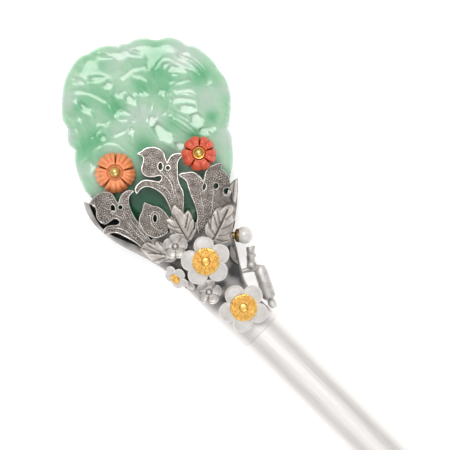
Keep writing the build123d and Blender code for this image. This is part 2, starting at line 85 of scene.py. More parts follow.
def wear_group():
    """Mottled tone, roughness and fine relief of a worn surface, as one shared node group."""
    group = bpy.data.node_groups.new("surface_wear", "ShaderNodeTree")
    for name, kind, value in (
        ("Stretch", "Vector", (1, 1, 1)), ("Scale", "Float", 500.0), ("Detail", "Float", 3.0),
        ("Deep", "Color", (0.3, 0.3, 0.3, 1)), ("Pale", "Color", (0.7, 0.7, 0.7, 1)),
        ("Deep Roughness", "Float", 0.5), ("Pale Roughness", "Float", 0.4), ("Relief", "Float", 0.0001),
        ("Shade", "Float", 0.0), ("Shade Color", "Color", (0.1, 0.1, 0.1, 1)),
    ):
        socket = group.interface.new_socket(name, in_out="INPUT", socket_type="NodeSocket" + kind)
        socket.default_value = value
    for name, kind in (("Color", "Color"), ("Roughness", "Float"), ("Normal", "Vector"), ("Tone", "Float")):
        group.interface.new_socket(name, in_out="OUTPUT", socket_type="NodeSocket" + kind)
    given = group.nodes.new("NodeGroupInput").outputs
    result = group.nodes.new("NodeGroupOutput").inputs
    place = group.nodes.new("ShaderNodeTexCoord").outputs["Object"]
    stretched = linked("stretched", "ShaderNodeMapping", group, {},
                       {"Vector": place, "Scale": given["Stretch"]})
    noise = linked("noise", "ShaderNodeTexNoise", group, {"Roughness": 0.6},
                   {"Vector": stretched.outputs[0], "Scale": given["Scale"], "Detail": given["Detail"]})
    tone = linked("tone", "ShaderNodeMapRange", group, {"From Min": 0.32, "From Max": 0.66},
                  {"Value": noise.outputs[0]})
    rough = linked("rough", "ShaderNodeMapRange", group, {}, {
        "Value": tone.outputs[0], "To Min": given["Deep Roughness"], "To Max": given["Pale Roughness"]})
    bump = linked("bump", "ShaderNodeBump", group, {"Strength": 0.3},
                  {"Height": noise.outputs[0], "Distance": given["Relief"]})
    body = mix_of(group, tone.outputs[0], given["Deep"], given["Pale"])
    shaded = mix_of(group, given["Shade"], body, given["Shade Color"])
    for socket, source in (("Color", shaded), ("Roughness", rough.outputs[0]), ("Normal", bump.outputs[0]),
                           ("Tone", tone.outputs[0])):
        join(group, source, result[socket])
    return group


def mix_of(tree, mask, first, second):
    """Two colours mixed by a mask. Each is a socket or (r, g, b), the mask a socket or a number."""
    node = tree.nodes.new("ShaderNodeMix")
    node.data_type = "RGBA"
    for socket, value in ((0, mask), (6, first), (7, second)):
        if isinstance(value, (int, float)):
            node.inputs[socket].default_value = value
        elif isinstance(value, tuple):
            node.inputs[socket].default_value = (*value, 1)
        else:
            join(tree, value, node.inputs[socket])
    return node.outputs[2]


wear = wear_group()


def worn(tree, shader, deep, pale, scale, roughness, relief=0.0001, stretch=(1, 1, 1), shade=None,
         dark=(0.1, 0.1, 0.1)):
    """Places the wear group in a material with its own values and joins it to the shader."""
    node = linked("wear", "ShaderNodeGroup", tree, {}, {})
    node.node_tree = wear
    for socket, value in (
        ("Scale", scale), ("Stretch", stretch), ("Relief", relief), ("Deep", (*deep, 1)),
        ("Pale", (*pale, 1)), ("Shade Color", (*dark, 1)), ("Deep Roughness", roughness[0]),
        ("Pale Roughness", roughness[1]),
    ):
        node.inputs[socket].default_value = value
    if shade:
        join(tree, shade, node.inputs["Shade"])
    for socket, target in (("Color", "Base Color"), ("Roughness", "Roughness"), ("Normal", "Normal")):
        join(tree, node.outputs[socket], shader.inputs[target])
    return node


BRUSHED = (90, 5200, 5200)
satin_silver, tree, shader = new_finish("satin_silver", Metallic=1.0)
worn(tree, shader, (0.74, 0.705, 0.68), (0.86, 0.83, 0.805), 1.0, (0.5, 0.6), 0.00004, BRUSHED)
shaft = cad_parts["shaft"]
shaft.data.materials.clear()
shaft.data.materials.append(satin_silver)

# Cup wall: the cast and oxidised funnel, smooth where it runs out of the round neck, and open
# between its scrolls. It is drawn on a sheet in millimetres, u to the right and v up, that is
# turned 45 degrees from the shaft, as the head is.
HEAD_TURN = math.radians(45)
SHEET = Matrix.Translation((-0.015, 0, 0)) @ Matrix.Rotation(HEAD_TURN, 4, "Z") @ Matrix.Scale(0.001, 4)
# Thickness of the wall, height of the mouth's middle, and a height clear of everything
WALL, MID_Z, CLEAR_Z = 1.1, 1.48, 15
# left edge u and v, right edge u and v, half depth, height of the middle
FUNNEL = (
    (6.95, -14.2, 14.19, -6.95, 5.1, 0.0),
    (4.1, -11.4, 11.4, -4.1, 5.14, 0.0),
    (1.25, -8.65, 8.65, -1.25, 5.2, 0.0),
    (-3.9, -3.5, 7.0, 1.0, 5.4, 0.28),
    (-8.5, 1.2, 5.9, 4.5, 5.8, 0.68),
    (-14.5, 5.4, 5.0, 8.8, 6.1, 0.98),
    (-23.4, 10.3, 4.0, 12.5, 6.4, 1.28),
    (-28.6, 15.3, 4.8, 16.5, 6.6, MID_Z),
    (-30.4, 21.0, 5.2, 21.0, 6.6, MID_Z),
    (-31.5, 32.5, 5.0, 32.5, 5.6, MID_Z),
)


def flowing(rows, steps):
    """More rows between those of a table, on smooth curves through them."""
    made = []
    for i in range(len(rows) - 1):
        near = [rows[min(max(k, 0), len(rows) - 1)] for k in (i - 1, i, i + 1, i + 2)]
        for step in range(steps):
            t = step / steps
            made.append([
                0.5 * (2 * b + (c - a) * t + (2 * a - 5 * b + 4 * c - d) * t**2
                       + (3 * b - a - 3 * c + d) * t**3)
                for a, b, c, d in zip(*near)
            ])
    return made + [list(rows[-1])]


def funnel_rings(bm, grow):
    """Rings of the funnel, bridged one to the next. Returns its first and last ring."""
    rings = []
    for left_u, left_v, right_u, right_v, depth, middle in flowing(FUNNEL, 8):
        left, right = Vector((left_u, left_v, middle)), Vector((right_u, right_v, middle))
        half = (right - left).length / 2
        power = 2 / max(2.0, 2 + 0.95 * (half / depth - 1))
        ring = bmesh.ops.create_circle(bm, segments=96, radius=1)["verts"]
        edges = list({edge for vert in ring for edge in vert.link_edges})
        for vert in ring:
            x, z = vert.co.x, vert.co.y
            across = math.copysign(abs(x) ** power, x) * (half + grow)
            rise = math.copysign(abs(z) ** power, z) * (depth + grow)
            vert.co = (left + right) / 2 + (right - left).normalized() * across + Vector((0, 0, rise))
        if rings:
            bmesh.ops.bridge_loops(bm, edges=rings[-1] + edges)
        rings.append(edges)
    return rings[0], rings[-1]


skin = bmesh.new()
funnel_rings(skin, 0.0)
funnel_tree = BVHTree.FromBMesh(skin)
skin.free()


def height_on(surface, u, v, side):
    """Height at which a line straight from the front, or from the back, first meets a surface."""
    hit = surface.ray_cast(Vector((u, v, 2 * CLEAR_Z * side)), Vector((0, 0, -side)))[0]
    return None if hit is None else hit.z


def wall_height(u, v, side):
    """Height of the funnel's front, or with side -1 of its back, or None beside it."""
    return height_on(funnel_tree, u, v, side)


def linked_object(name, data):
    """An object of a mesh, curve, light or camera, placed in the scene."""
    made = bpy.data.objects.new(name, data)
    bpy.context.scene.collection.objects.link(made)
    return made


def settled_mesh(made):
    """The mesh that an object has with its modifiers or bevel. The object itself is removed."""
    shape = bpy.data.meshes.new_from_object(made.evaluated_get(bpy.context.evaluated_depsgraph_get()))
    bpy.data.objects.remove(made)
    return shape


def drawn_line(rows, closed=True, steps=5):
    """Points of a smooth line through a table's u and v. A third value marks a sharp corner."""
    curve = bpy.data.curves.new("line", "CURVE")
    curve.dimensions = "3D"
    curve.resolution_u = steps
    spline = curve.splines.new("BEZIER")
    spline.bezier_points.add(len(rows) - 1)
    spline.use_cyclic_u = closed
    for point, row in zip(spline.bezier_points, rows):
        point.co = (row[0], row[1], 0)
        point.handle_left_type = point.handle_right_type = "VECTOR" if len(row) > 2 else "AUTO"
    shape = settled_mesh(linked_object("line", curve))
    points = [vert.co.copy() for vert in shape.vertices]
    bpy.data.meshes.remove(shape)
    return points


def mesh_of(bm, name):
    mesh = bpy.data.meshes.new(name)
    bm.to_mesh(mesh)
    bm.free()
    return mesh


def funnel_solid(grow, stretch):
    """The funnel as a closed solid, its two ends moved out by a stretch."""
    bm = bmesh.new()
    first, last = funnel_rings(bm, grow)
    for edges, way in ((first, Vector((1, -1, 0)).normalized()), (last, Vector((0, 1, 0)))):
        verts = list({vert for edge in edges for vert in edge.verts})
        bmesh.ops.translate(bm, vec=way * stretch, verts=verts)
        bmesh.ops.contextual_create(bm, geom=edges)
    bmesh.ops.recalc_face_normals(bm, faces=bm.faces)
    return mesh_of(bm, "funnel")


def verts_in(geometry):
    return [part for part in geometry if isinstance(part, bmesh.types.BMVert)]


def prism(points, top_z):
    """An outline of the sheet as a solid from below the funnel up to a height."""
    bm = bmesh.new()
    face = bm.faces.new([bm.verts.new((p.x, p.y, -CLEAR_Z)) for p in points])
    top = bmesh.ops.extrude_face_region(bm, geom=[face], use_keep_orig=True)["geom"]
    bmesh.ops.translate(bm, vec=(0, 0, CLEAR_Z + top_z), verts=verts_in(top))
    bmesh.ops.recalc_face_normals(bm, faces=bm.faces)
    return linked_object("prism", mesh_of(bm, "prism"))


def cut_wall(rows, holes=(), top_z=CLEAR_Z):
    """The part of the funnel's wall, front and back, inside an outline and outside some holes."""
    made = linked_object("wall", funnel_solid(0.0, 0.0))
    inner = linked_object("inner", funnel_solid(-WALL, 1.0))
    steps = [(prism(drawn_line(rows), top_z), "INTERSECT"), (inner, "DIFFERENCE")]
    steps += [(prism(hole, CLEAR_Z), "DIFFERENCE") for hole in holes]
    for cutter, operation in steps:
        cut = made.modifiers.new("cut", "BOOLEAN")
        cut.operation, cut.solver, cut.object = operation, "EXACT", cutter
    bpy.context.view_layer.update()
    mesh = settled_mesh(made)
    for cutter, operation in steps:
        bpy.data.objects.remove(cutter)
    return mesh


def set_piece(bm, name, finish, crease=40.0, stands_for=()):
    """Moves a mesh from the sheet into the hairpin's frame and fixes it to the root body."""
    bmesh.ops.transform(bm, matrix=SHEET, verts=bm.verts)
    bmesh.ops.recalc_face_normals(bm, faces=bm.faces)
    for edge in bm.edges:
        edge.smooth = len(edge.link_faces) == 2 and edge.calc_face_angle(0) < math.radians(crease)
    for face in bm.faces:
        face.smooth = True
    piece = linked_object(name, mesh_of(bm, name))
    piece.data.materials.append(finish)
    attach(piece, "root")
    if stands_for:
        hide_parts(*stands_for)
    return piece


# The closed lower part of the wall, from rim to rim, and the neck
ROOT = (
    (-32.5, 20.2, 1), (-28.6, 18.6, 1), (-27.2, 15.5), (-25.2, 12.7), (-22.5, 11.1, 1), (-17.0, 8.9, 1),
    (-12.0, 12.0, 1), (-6.0, 12.4, 1), (-3.6, 13.5, 1), (7.0, 13.0, 1), (22.0, -3.0, 1), (22.0, -22.0, 1),
    (1.0, -22.0, 1), (-12.0, -8.0, 1), (-32.0, 6.0, 1),
)
# Behind the left scroll the back of the wall reaches higher than its front
BACK_RIM = (
    (-28.4, 18.3, 1), (-27.0, 17.4), (-25.0, 16.6), (-21.0, 16.0), (-16.0, 15.6), (-12.0, 15.4, 1),
    (-10.0, 9.0, 1), (-17.0, 6.0, 1), (-25.0, 9.0, 1), (-30.5, 15.0, 1),
)


def patches_of(spots, table):
    value = np.zeros(len(spots))
    for u, v, spread, strength in table:
        value += strength * np.exp(-(((spots[:, 0] - u) ** 2 + (spots[:, 1] - v) ** 2) / spread**2))
    return np.clip(value, 0, 1)


def paint(bm, name, values):
    """Keeps a value for each vertex that the finish reads by name."""
    layer = bm.verts.layers.float.new(name)
    for vert, value in zip(bm.verts, values):
        vert[layer] = float(min(max(value, 0.0), 1.0))


def painted(tree, name):
    """A value that a mesh keeps for each of its vertices."""
    node = tree.nodes.new("ShaderNodeAttribute")
    node.attribute_name = name
    return node.outputs["Fac"]


# Oxide left in corners, and painted shade round the flowers and on the neck's shaded side: u, v, spread,
# strength
WALL_OXIDE_AND_SHADE = (
    (-8.9, 9.0, 3.6, 0.8), (-1.3, -1.3, 3.0, 0.5), (-2.0, 5.7, 5.4, 0.6), (6.9, -4.0, 3.8, 0.4),
    (-7.8, 2.4, 1.6, 0.6), (4.8, 6.4, 1.9, 0.95), (5.4, 3.4, 1.6, 0.95), (6.6, 1.0, 1.5, 0.9),
    (4.0, 3.2, 1.3, 0.8), (4.2, 8.8, 1.3, 0.95), (8.2, -1.0, 1.3, 0.8), (10.2, -3.2, 1.1, 0.75),
    (2.2, -2.9, 1.3, 0.8), (1.7, 0.4, 1.2, 0.9), (0.6, -4.6, 1.5, 0.4), (-6.9, 2.7, 0.8, 0.7),
    (-8.4, 6.0, 0.9, 0.9), (-10.0, 6.0, 1.0, 0.8), (-11.0, 11.2, 1.2, 1.0), (-12.8, 10.6, 1.0, 0.9),
    (-5.2, 10.2, 1.0, 0.9), (-3.6, 12.8, 1.5, 0.9), (-2.6, 14.4, 1.0, 0.8), (-11.4, 4.8, 1.0, 0.4),
    (-20.0, 10.0, 1.6, 0.8), (-22.6, 11.3, 1.2, 0.6), (-27.0, 14.6, 1.4, 0.5), (-5.0, 0.8, 1.1, 0.7),
    (-17.0, 8.8, 1.0, 0.9), (12.4, -4.6, 0.9, 0.7),
)

cast_silver, tree, shader = new_finish("cast_silver", Metallic=1.0)
cast = worn(tree, shader, (0.34, 0.31, 0.29), (0.56, 0.525, 0.50), 300.0, (0.55, 0.42), 0.0002)
rubbed = worn(tree, shader, (0.70, 0.665, 0.64), (0.82, 0.79, 0.765), 1.0, (0.5, 0.6), 0.00004, BRUSHED)
# the ferrule end is rubbed as bright as the shaft; oxide stays in the corners, with painted shade round the
# flowers and inside
place = tree.nodes.new("ShaderNodeTexCoord").outputs["Object"]
along = linked("along", "ShaderNodeSeparateXYZ", tree, {}, {0: place})
ferrule = linked("ferrule", "ShaderNodeMapRange", tree, {"From Min": -0.026, "From Max": -0.008},
                 {"Value": along.outputs["X"]})
body = mix_of(tree, ferrule.outputs[0], cast.outputs["Color"], rubbed.outputs["Color"])
join(tree, mix_of(tree, painted(tree, "oxide_and_shade"), body, (0.085, 0.082, 0.08)), shader.inputs["Base Color"])
join(tree, cast.outputs["Normal"], shader.inputs["Normal"])

bm = bmesh.new()
bm.from_mesh(cut_wall(ROOT))
bm.from_mesh(cut_wall(BACK_RIM, top_z=0.6))
spots = np.array([(vert.co.x, vert.co.y) for vert in bm.verts])
# painted shade on the wall's inner faces, which lie away from its outer skin
inner_shade = [0.85 * (funnel_tree.find_nearest(vert.co)[3] > 0.4) for vert in bm.verts]
front = np.clip([(vert.co.z - 0.4) / 3.0 for vert in bm.verts], 0, 1)
paint(bm, "oxide_and_shade", np.maximum(patches_of(spots, WALL_OXIDE_AND_SHADE) * front, inner_shade))
set_piece(bm, "cup_wall", cast_silver, stands_for=("cup",))

# Scrolls: openwork flowers of the cast wall with pierced eyes. Each has a granulated field, dark
# with oxide, inside a bright raised rim that a fine bead runs along. The rim follows the rows up
# to the rim count, and the rows after it close the outline out of sight.
LEFT_SCROLL = (
    (-16.8, 9.1, 1), (-17.7, 9.9), (-19.0, 10.7), (-20.5, 11.5), (-21.8, 12.1), (-23.0, 12.3),
    (-24.3, 12.0), (-25.1, 11.6, 1), (-25.3, 12.2), (-24.5, 13.4), (-23.5, 13.7), (-22.0, 13.9),
    (-21.4, 14.5), (-22.0, 15.3), (-22.8, 15.4), (-23.5, 15.0), (-24.2, 14.5), (-24.8, 14.2), (-25.5, 14.4),
    (-26.2, 15.0), (-26.7, 15.9), (-26.7, 17.0), (-27.0, 18.0), (-27.4, 18.5), (-28.4, 18.7, 1),
    (-27.0, 20.3), (-25.5, 21.2), (-24.5, 21.3), (-23.5, 21.0), (-22.8, 20.2), (-22.1, 19.0),
    (-21.7, 18.6, 1), (-21.3, 20.0), (-20.6, 21.0), (-19.5, 21.6), (-18.3, 21.5, 1), (-18.9, 21.0),
    (-19.4, 20.3), (-19.5, 19.2), (-19.2, 17.8), (-18.5, 16.2), (-17.8, 15.0), (-16.9, 14.0), (-16.0, 12.5),
    (-15.0, 11.0), (-13.8, 9.6, 1),
)
MIDDLE_SCROLL = (
    (-8.6, 12.8, 1), (-9.2, 15.6), (-10.2, 18.2), (-10.9, 19.7), (-11.6, 20.7), (-12.5, 21.5),
    (-13.5, 22.1), (-14.5, 22.5), (-15.5, 22.6), (-16.4, 22.3), (-17.0, 21.8), (-17.6, 21.0, 1),
    (-17.9, 21.7), (-17.7, 22.5), (-17.0, 23.3), (-16.0, 23.9), (-14.8, 23.9), (-13.5, 23.7), (-12.5, 23.6),
    (-12.0, 24.2), (-12.0, 24.9), (-12.6, 25.1), (-13.5, 24.9), (-14.5, 24.8), (-15.5, 25.0), (-16.2, 25.6),
    (-16.5, 26.5), (-16.4, 27.3), (-16.1, 28.2), (-16.1, 29.0), (-16.5, 29.6), (-17.4, 30.0, 1),
    (-16.5, 30.5), (-15.7, 31.1), (-14.5, 31.4), (-13.3, 31.3), (-12.3, 30.8), (-11.6, 30.0), (-11.3, 29.0),
    (-10.8, 27.8, 1), (-10.3, 28.8), (-9.8, 29.5), (-9.0, 29.9), (-8.2, 30.0), (-7.2, 29.8, 1),
    (-8.0, 28.9), (-8.4, 28.2), (-8.5, 26.2), (-8.3, 23.8), (-7.8, 22.5), (-7.3, 21.5), (-7.1, 19.3),
    (-7.2, 18.0), (-7.2, 12.8, 1),
)
RIGHT_SCROLL = (
    (-3.6, 12.0, 1), (-4.0, 14.3), (-3.8, 15.8), (-4.2, 17.8), (-4.6, 19.0), (-5.2, 20.3), (-5.6, 21.5),
    (-6.0, 22.8), (-6.3, 23.7), (-6.8, 24.3), (-7.4, 24.7), (-8.1, 25.2, 1), (-7.5, 25.5), (-6.5, 25.6),
    (-5.5, 25.8), (-4.8, 25.7), (-4.0, 25.2), (-3.3, 24.6), (-2.6, 23.4, 1), (-2.3, 24.5), (-2.1, 25.5),
    (-1.7, 26.3), (-1.0, 27.0), (-0.2, 27.4), (0.6, 27.7), (1.7, 27.8, 1), (1.3, 26.8), (1.8, 26.2),
    (2.4, 25.6), (2.9, 24.9), (3.2, 24.1), (3.4, 23.1, 1), (4.2, 24.0, 1), (7.5, 26.0, 1), (7.5, 12.0, 1),
)
BUD = (
    (-10.6, 12.4, 1), (-12.0, 11.4), (-13.4, 11.1), (-14.8, 11.5), (-15.8, 12.3), (-16.6, 13.4),
    (-17.0, 15.0), (-16.8, 16.0), (-16.3, 17.0), (-16.1, 18.0), (-15.8, 18.9, 1), (-14.7, 18.4),
    (-13.8, 18.1), (-12.8, 17.9), (-11.9, 17.3), (-11.2, 16.6), (-10.4, 15.4, 1),
)
# name, outline, rows with a rim
SCROLLS = (
    ("left", LEFT_SCROLL, 46), ("middle", MIDDLE_SCROLL, 54), ("right", RIGHT_SCROLL, 32), ("bud", BUD, 17),
)
# Eyes and drops, cut through and ringed by a bead: u, v, half width, half height, turn
EYES = (
    (-23.0, 17.6, 0.45, 0.85, 10), (-21.3, 17.9, 0.42, 0.42, 0),
    (-12.3, 27.1, 0.45, 0.8, 0), (-10.6, 26.8, 0.4, 0.4, 0),
    (-2.4, 22.5, 0.32, 0.75, -10), (0.2, 22.7, 0.55, 0.65, -20),
    (2.7, 21.6, 0.7, 0.7, 0), (-13.5, 15.4, 0.4, 0.85, 0),
)
# Ribs inside the scrolls: radius of the bead, then u and v along it
RIBS = (
    (0.17, (-22.6, 17.0), (-23.4, 16.9), (-22.3, 16.1), (-20.4, 15.2)),
    (0.17, (-20.0, 15.0), (-18.5, 13.0), (-17.0, 11.2), (-15.8, 10.0)),
    (0.17, (-19.2, 15.3), (-17.8, 13.6), (-16.2, 11.6), (-14.8, 10.2)),
    (0.17, (-12.9, 26.4), (-11.5, 25.2), (-10.0, 23.5), (-9.2, 20.9), (-8.6, 18.4)),
    (0.14, (-11.0, 25.9), (-10.2, 25.0), (-9.6, 23.8)),
    (0.17, (-0.3, 22.2), (-0.45, 20.0), (-0.6, 18.2), (-0.9, 16.0)),
    (0.17, (-12.5, 13.9), (-12.4, 15.2), (-12.7, 16.5), (-13.6, 16.9), (-14.4, 16.2), (-14.5, 15.0),
     (-14.1, 13.9), (-13.2, 13.0), (-12.0, 12.4)),
    (0.15, (-10.0, 25.6), (-9.4, 24.0), (-8.9, 21.8), (-8.2, 19.6), (-7.9, 18.2)),
    (0.15, (-13.6, 23.2), (-11.8, 22.6), (-10.4, 21.4), (-9.6, 19.8)),
    (0.15, (-24.6, 13.0), (-22.4, 13.2), (-20.6, 12.8), (-18.8, 11.6), (-17.4, 10.2)),
    (0.15, (-3.4, 21.8), (-3.0, 19.6), (-2.6, 17.6), (-2.7, 15.6)),
    (0.18, (1.75, 21.3), (2.1, 20.7), (2.7, 20.5), (3.3, 20.7), (3.6, 21.3)),
)


def eye_line(u, v, half_width, half_height, turn, grow=0.0):
    """Points round a drop-shaped or round eye."""
    turned = Matrix.Rotation(math.radians(turn), 3, "Z")
    ring = [Vector((math.cos(math.tau * k / 20) * (half_width + grow),
                    math.sin(math.tau * k / 20) * (half_height + grow), 0)) for k in range(20)]
    return [turned @ point + Vector((u, v, 0)) for point in ring]


# Heights above the mouth's middle where beads and granules stop, and how high their middles stand
BEAD_LOW, GRAIN_LOW = 1.2, 3.5
BEAD_LIFT, GRAIN_LIFT = 0.06, 0.07


def run_bead(bm, points, radius, side, closed=False, taper=False):
    """A round bead that lies along the wall on points of the sheet."""
    heights = [wall_height(p.x, p.y, side) for p in points]
    runs, run = [], []
    for point, height in zip(points, heights):
        if height is None or side * (height - MID_Z) < BEAD_LOW:
            runs.append(run)
            run = []
        else:
            run.append((point.x, point.y, height + side * BEAD_LIFT))
    runs.append(run)
    for run in runs:
        if len(run) < 3:
            continue
        curve = bpy.data.curves.new("bead", "CURVE")
        curve.dimensions = "3D"
        curve.bevel_depth = radius
        curve.bevel_resolution = 1
        curve.use_fill_caps = True
        spline = curve.splines.new("POLY")
        spline.points.add(len(run) - 1)
        spline.use_cyclic_u = closed and len(run) == len(points)
        for place, (point, co) in enumerate(zip(spline.points, run)):
            point.co = (*co, 1)
            if taper:
                point.radius = 0.35 + 0.65 * math.sin(math.pi * (place + 0.5) / len(run)) ** 0.5
        shape = settled_mesh(linked_object("bead", curve))
        bm.from_mesh(shape)
        bpy.data.meshes.remove(shape)


field_silver, tree, shader = new_finish("field_silver", Metallic=1.0)
worn(tree, shader, (0.15, 0.125, 0.11), (0.33, 0.29, 0.26), 900.0, (0.65, 0.5), 0.0004)

fields = bmesh.new()
for name, rows, rim_rows in SCROLLS:
    fields.from_mesh(cut_wall(rows, [eye_line(*eye) for eye in EYES]))
field_tree = BVHTree.FromBMesh(fields)
set_piece(fields, "scroll_fields", field_silver, 30.0)

rim_silver, tree, shader = new_finish("rim_silver", Metallic=1.0)
worn(tree, shader, (0.46, 0.42, 0.39), (0.72, 0.675, 0.635), 900.0, (0.5, 0.36))

rims = bmesh.new()
for side in (1, -1):
    for name, rows, rim_rows in SCROLLS:
        run_bead(rims, drawn_line(rows[:rim_rows], False, 4), 0.2, side)
    for radius, *rib in RIBS:
        run_bead(rims, drawn_line(rib, False, 6), radius, side, taper=True)
    for eye in EYES:
        run_bead(rims, eye_line(*eye, grow=0.16), 0.17, side, closed=True)
set_piece(rims, "scroll_rims", rim_silver, 60.0)

granule_silver, tree, shader = new_finish("granule_silver", Metallic=1.0)
worn(tree, shader, (0.30, 0.26, 0.235), (0.74, 0.69, 0.65), 600.0, (0.46, 0.32))

grains = bmesh.new()
chance = random.Random(11)
# Least distance between granules, width of the field's bare edge, size of a cell of the search
SPACING, MARGIN, CELL = 0.41, 0.3, 0.5
AROUND = [(0, 0)] + [(MARGIN * du, MARGIN * dv) for du, dv in ((1, 0), (-1, 0), (0, 1), (0, -1))]
AROUND += [(0.7 * MARGIN * du, 0.7 * MARGIN * dv) for du in (1, -1) for dv in (1, -1)]
for side in (1, -1):
    taken = {}
    for attempt in range(42000):
        u, v = chance.uniform(-28, 4.2), chance.uniform(11, 31.5)
        size = chance.uniform(0.18, 0.25)
        if u > -0.1 and v < 22.6 + 0.2 * (u + 0.1):
            continue
        height = wall_height(u, v, side)
        if height is None or side * (height - MID_Z) < GRAIN_LOW:
            continue
        spot = (round(u / CELL), round(v / CELL))
        near = [p for i in (-1, 0, 1) for j in (-1, 0, 1) for p in taken.get((spot[0] + i, spot[1] + j), ())]
        if any((u - p[0]) ** 2 + (v - p[1]) ** 2 < SPACING**2 for p in near):
            continue
        below = (height_on(field_tree, u + du, v + dv, side) for du, dv in AROUND)
        if any(field is None or abs(field - height) > 0.5 for field in below):
            continue
        taken.setdefault(spot, []).append((u, v))
        bmesh.ops.create_icosphere(grains, subdivisions=1, radius=size,
                                   matrix=Matrix.Translation((u, v, height + side * GRAIN_LIFT))
                                   @ Matrix.Rotation(chance.uniform(0, 6), 4, "Z"))
set_piece(grains, "scroll_granules", granule_silver, 180.0)

# Leaves: cast with the wall and raised a little above it, their lobes cut back, with a sharp
# midrib and softer side veins. They cover the feet of the scrolls.
INNER_LEAF = (
    (-9.0, 18.6, 1), (-9.5, 17.9), (-9.9, 16.8), (-10.1, 15.5), (-11.0, 15.2, 1), (-10.8, 14.2),
    (-10.5, 13.2), (-9.6, 12.5, 1), (-8.2, 11.2), (-6.6, 9.9, 1), (-5.4, 10.4), (-4.5, 11.8),
    (-4.0, 13.3, 1), (-4.8, 12.9, 1), (-4.6, 14.2), (-5.0, 15.6), (-5.4, 16.5), (-6.0, 17.3, 1),
    (-6.9, 16.4, 1), (-7.5, 17.2), (-8.2, 17.7),
)
RIGHT_LEAF = (
    (-1.5, 14.9, 1), (-2.1, 13.8), (-2.3, 12.8), (-2.0, 11.6), (-1.0, 10.3, 1), (1.2, 9.4), (3.0, 9.8, 1),
    (3.8, 10.3, 1), (3.4, 11.6, 1), (4.0, 12.4), (4.4, 13.6), (4.6, 14.8, 1), (4.2, 15.6, 1), (4.1, 16.6),
    (4.4, 17.8), (3.9, 18.6, 1), (2.9, 18.5), (2.0, 18.0), (1.2, 17.3, 1), (0.7, 17.9, 1), (0.0, 17.3),
    (-0.5, 16.5), (-0.8, 15.0), (-0.9, 13.4, 1),
)
LEFT_LEAF = (
    (-17.0, 8.4, 1), (-16.4, 9.4), (-15.6, 10.0), (-14.6, 9.9), (-13.6, 9.4, 1), (-13.3, 10.1),
    (-12.7, 10.2), (-11.5, 9.6), (-9.6, 8.6), (-8.4, 6.4, 1), (-9.6, 5.4), (-11.5, 5.4), (-13.0, 4.9),
    (-14.2, 5.3), (-15.2, 6.3), (-16.2, 7.4),
)
RIM_LEAF = (
    (3.2, 22.6, 1), (4.0, 23.6), (5.2, 24.7, 1), (5.3, 23.0), (5.2, 21.0), (4.7, 18.6, 1), (3.9, 19.6),
    (3.8, 21.0),
)
ROOT_LEAF = ((-7.8, 0.8, 1), (-6.6, 1.4), (-5.2, 1.0), (-4.4, -0.4), (-4.9, -1.2, 1), (-6.4, -0.8))
# The curl is a leaf at the neck's right edge that is dark all over
CURL_LEAF = (
    (3.4, 9.2, 1), (4.5, 9.0), (5.0, 7.7), (5.4, 6.1), (5.5, 4.7, 1), (4.8, 5.1), (3.9, 5.9), (3.3, 7.3),
)
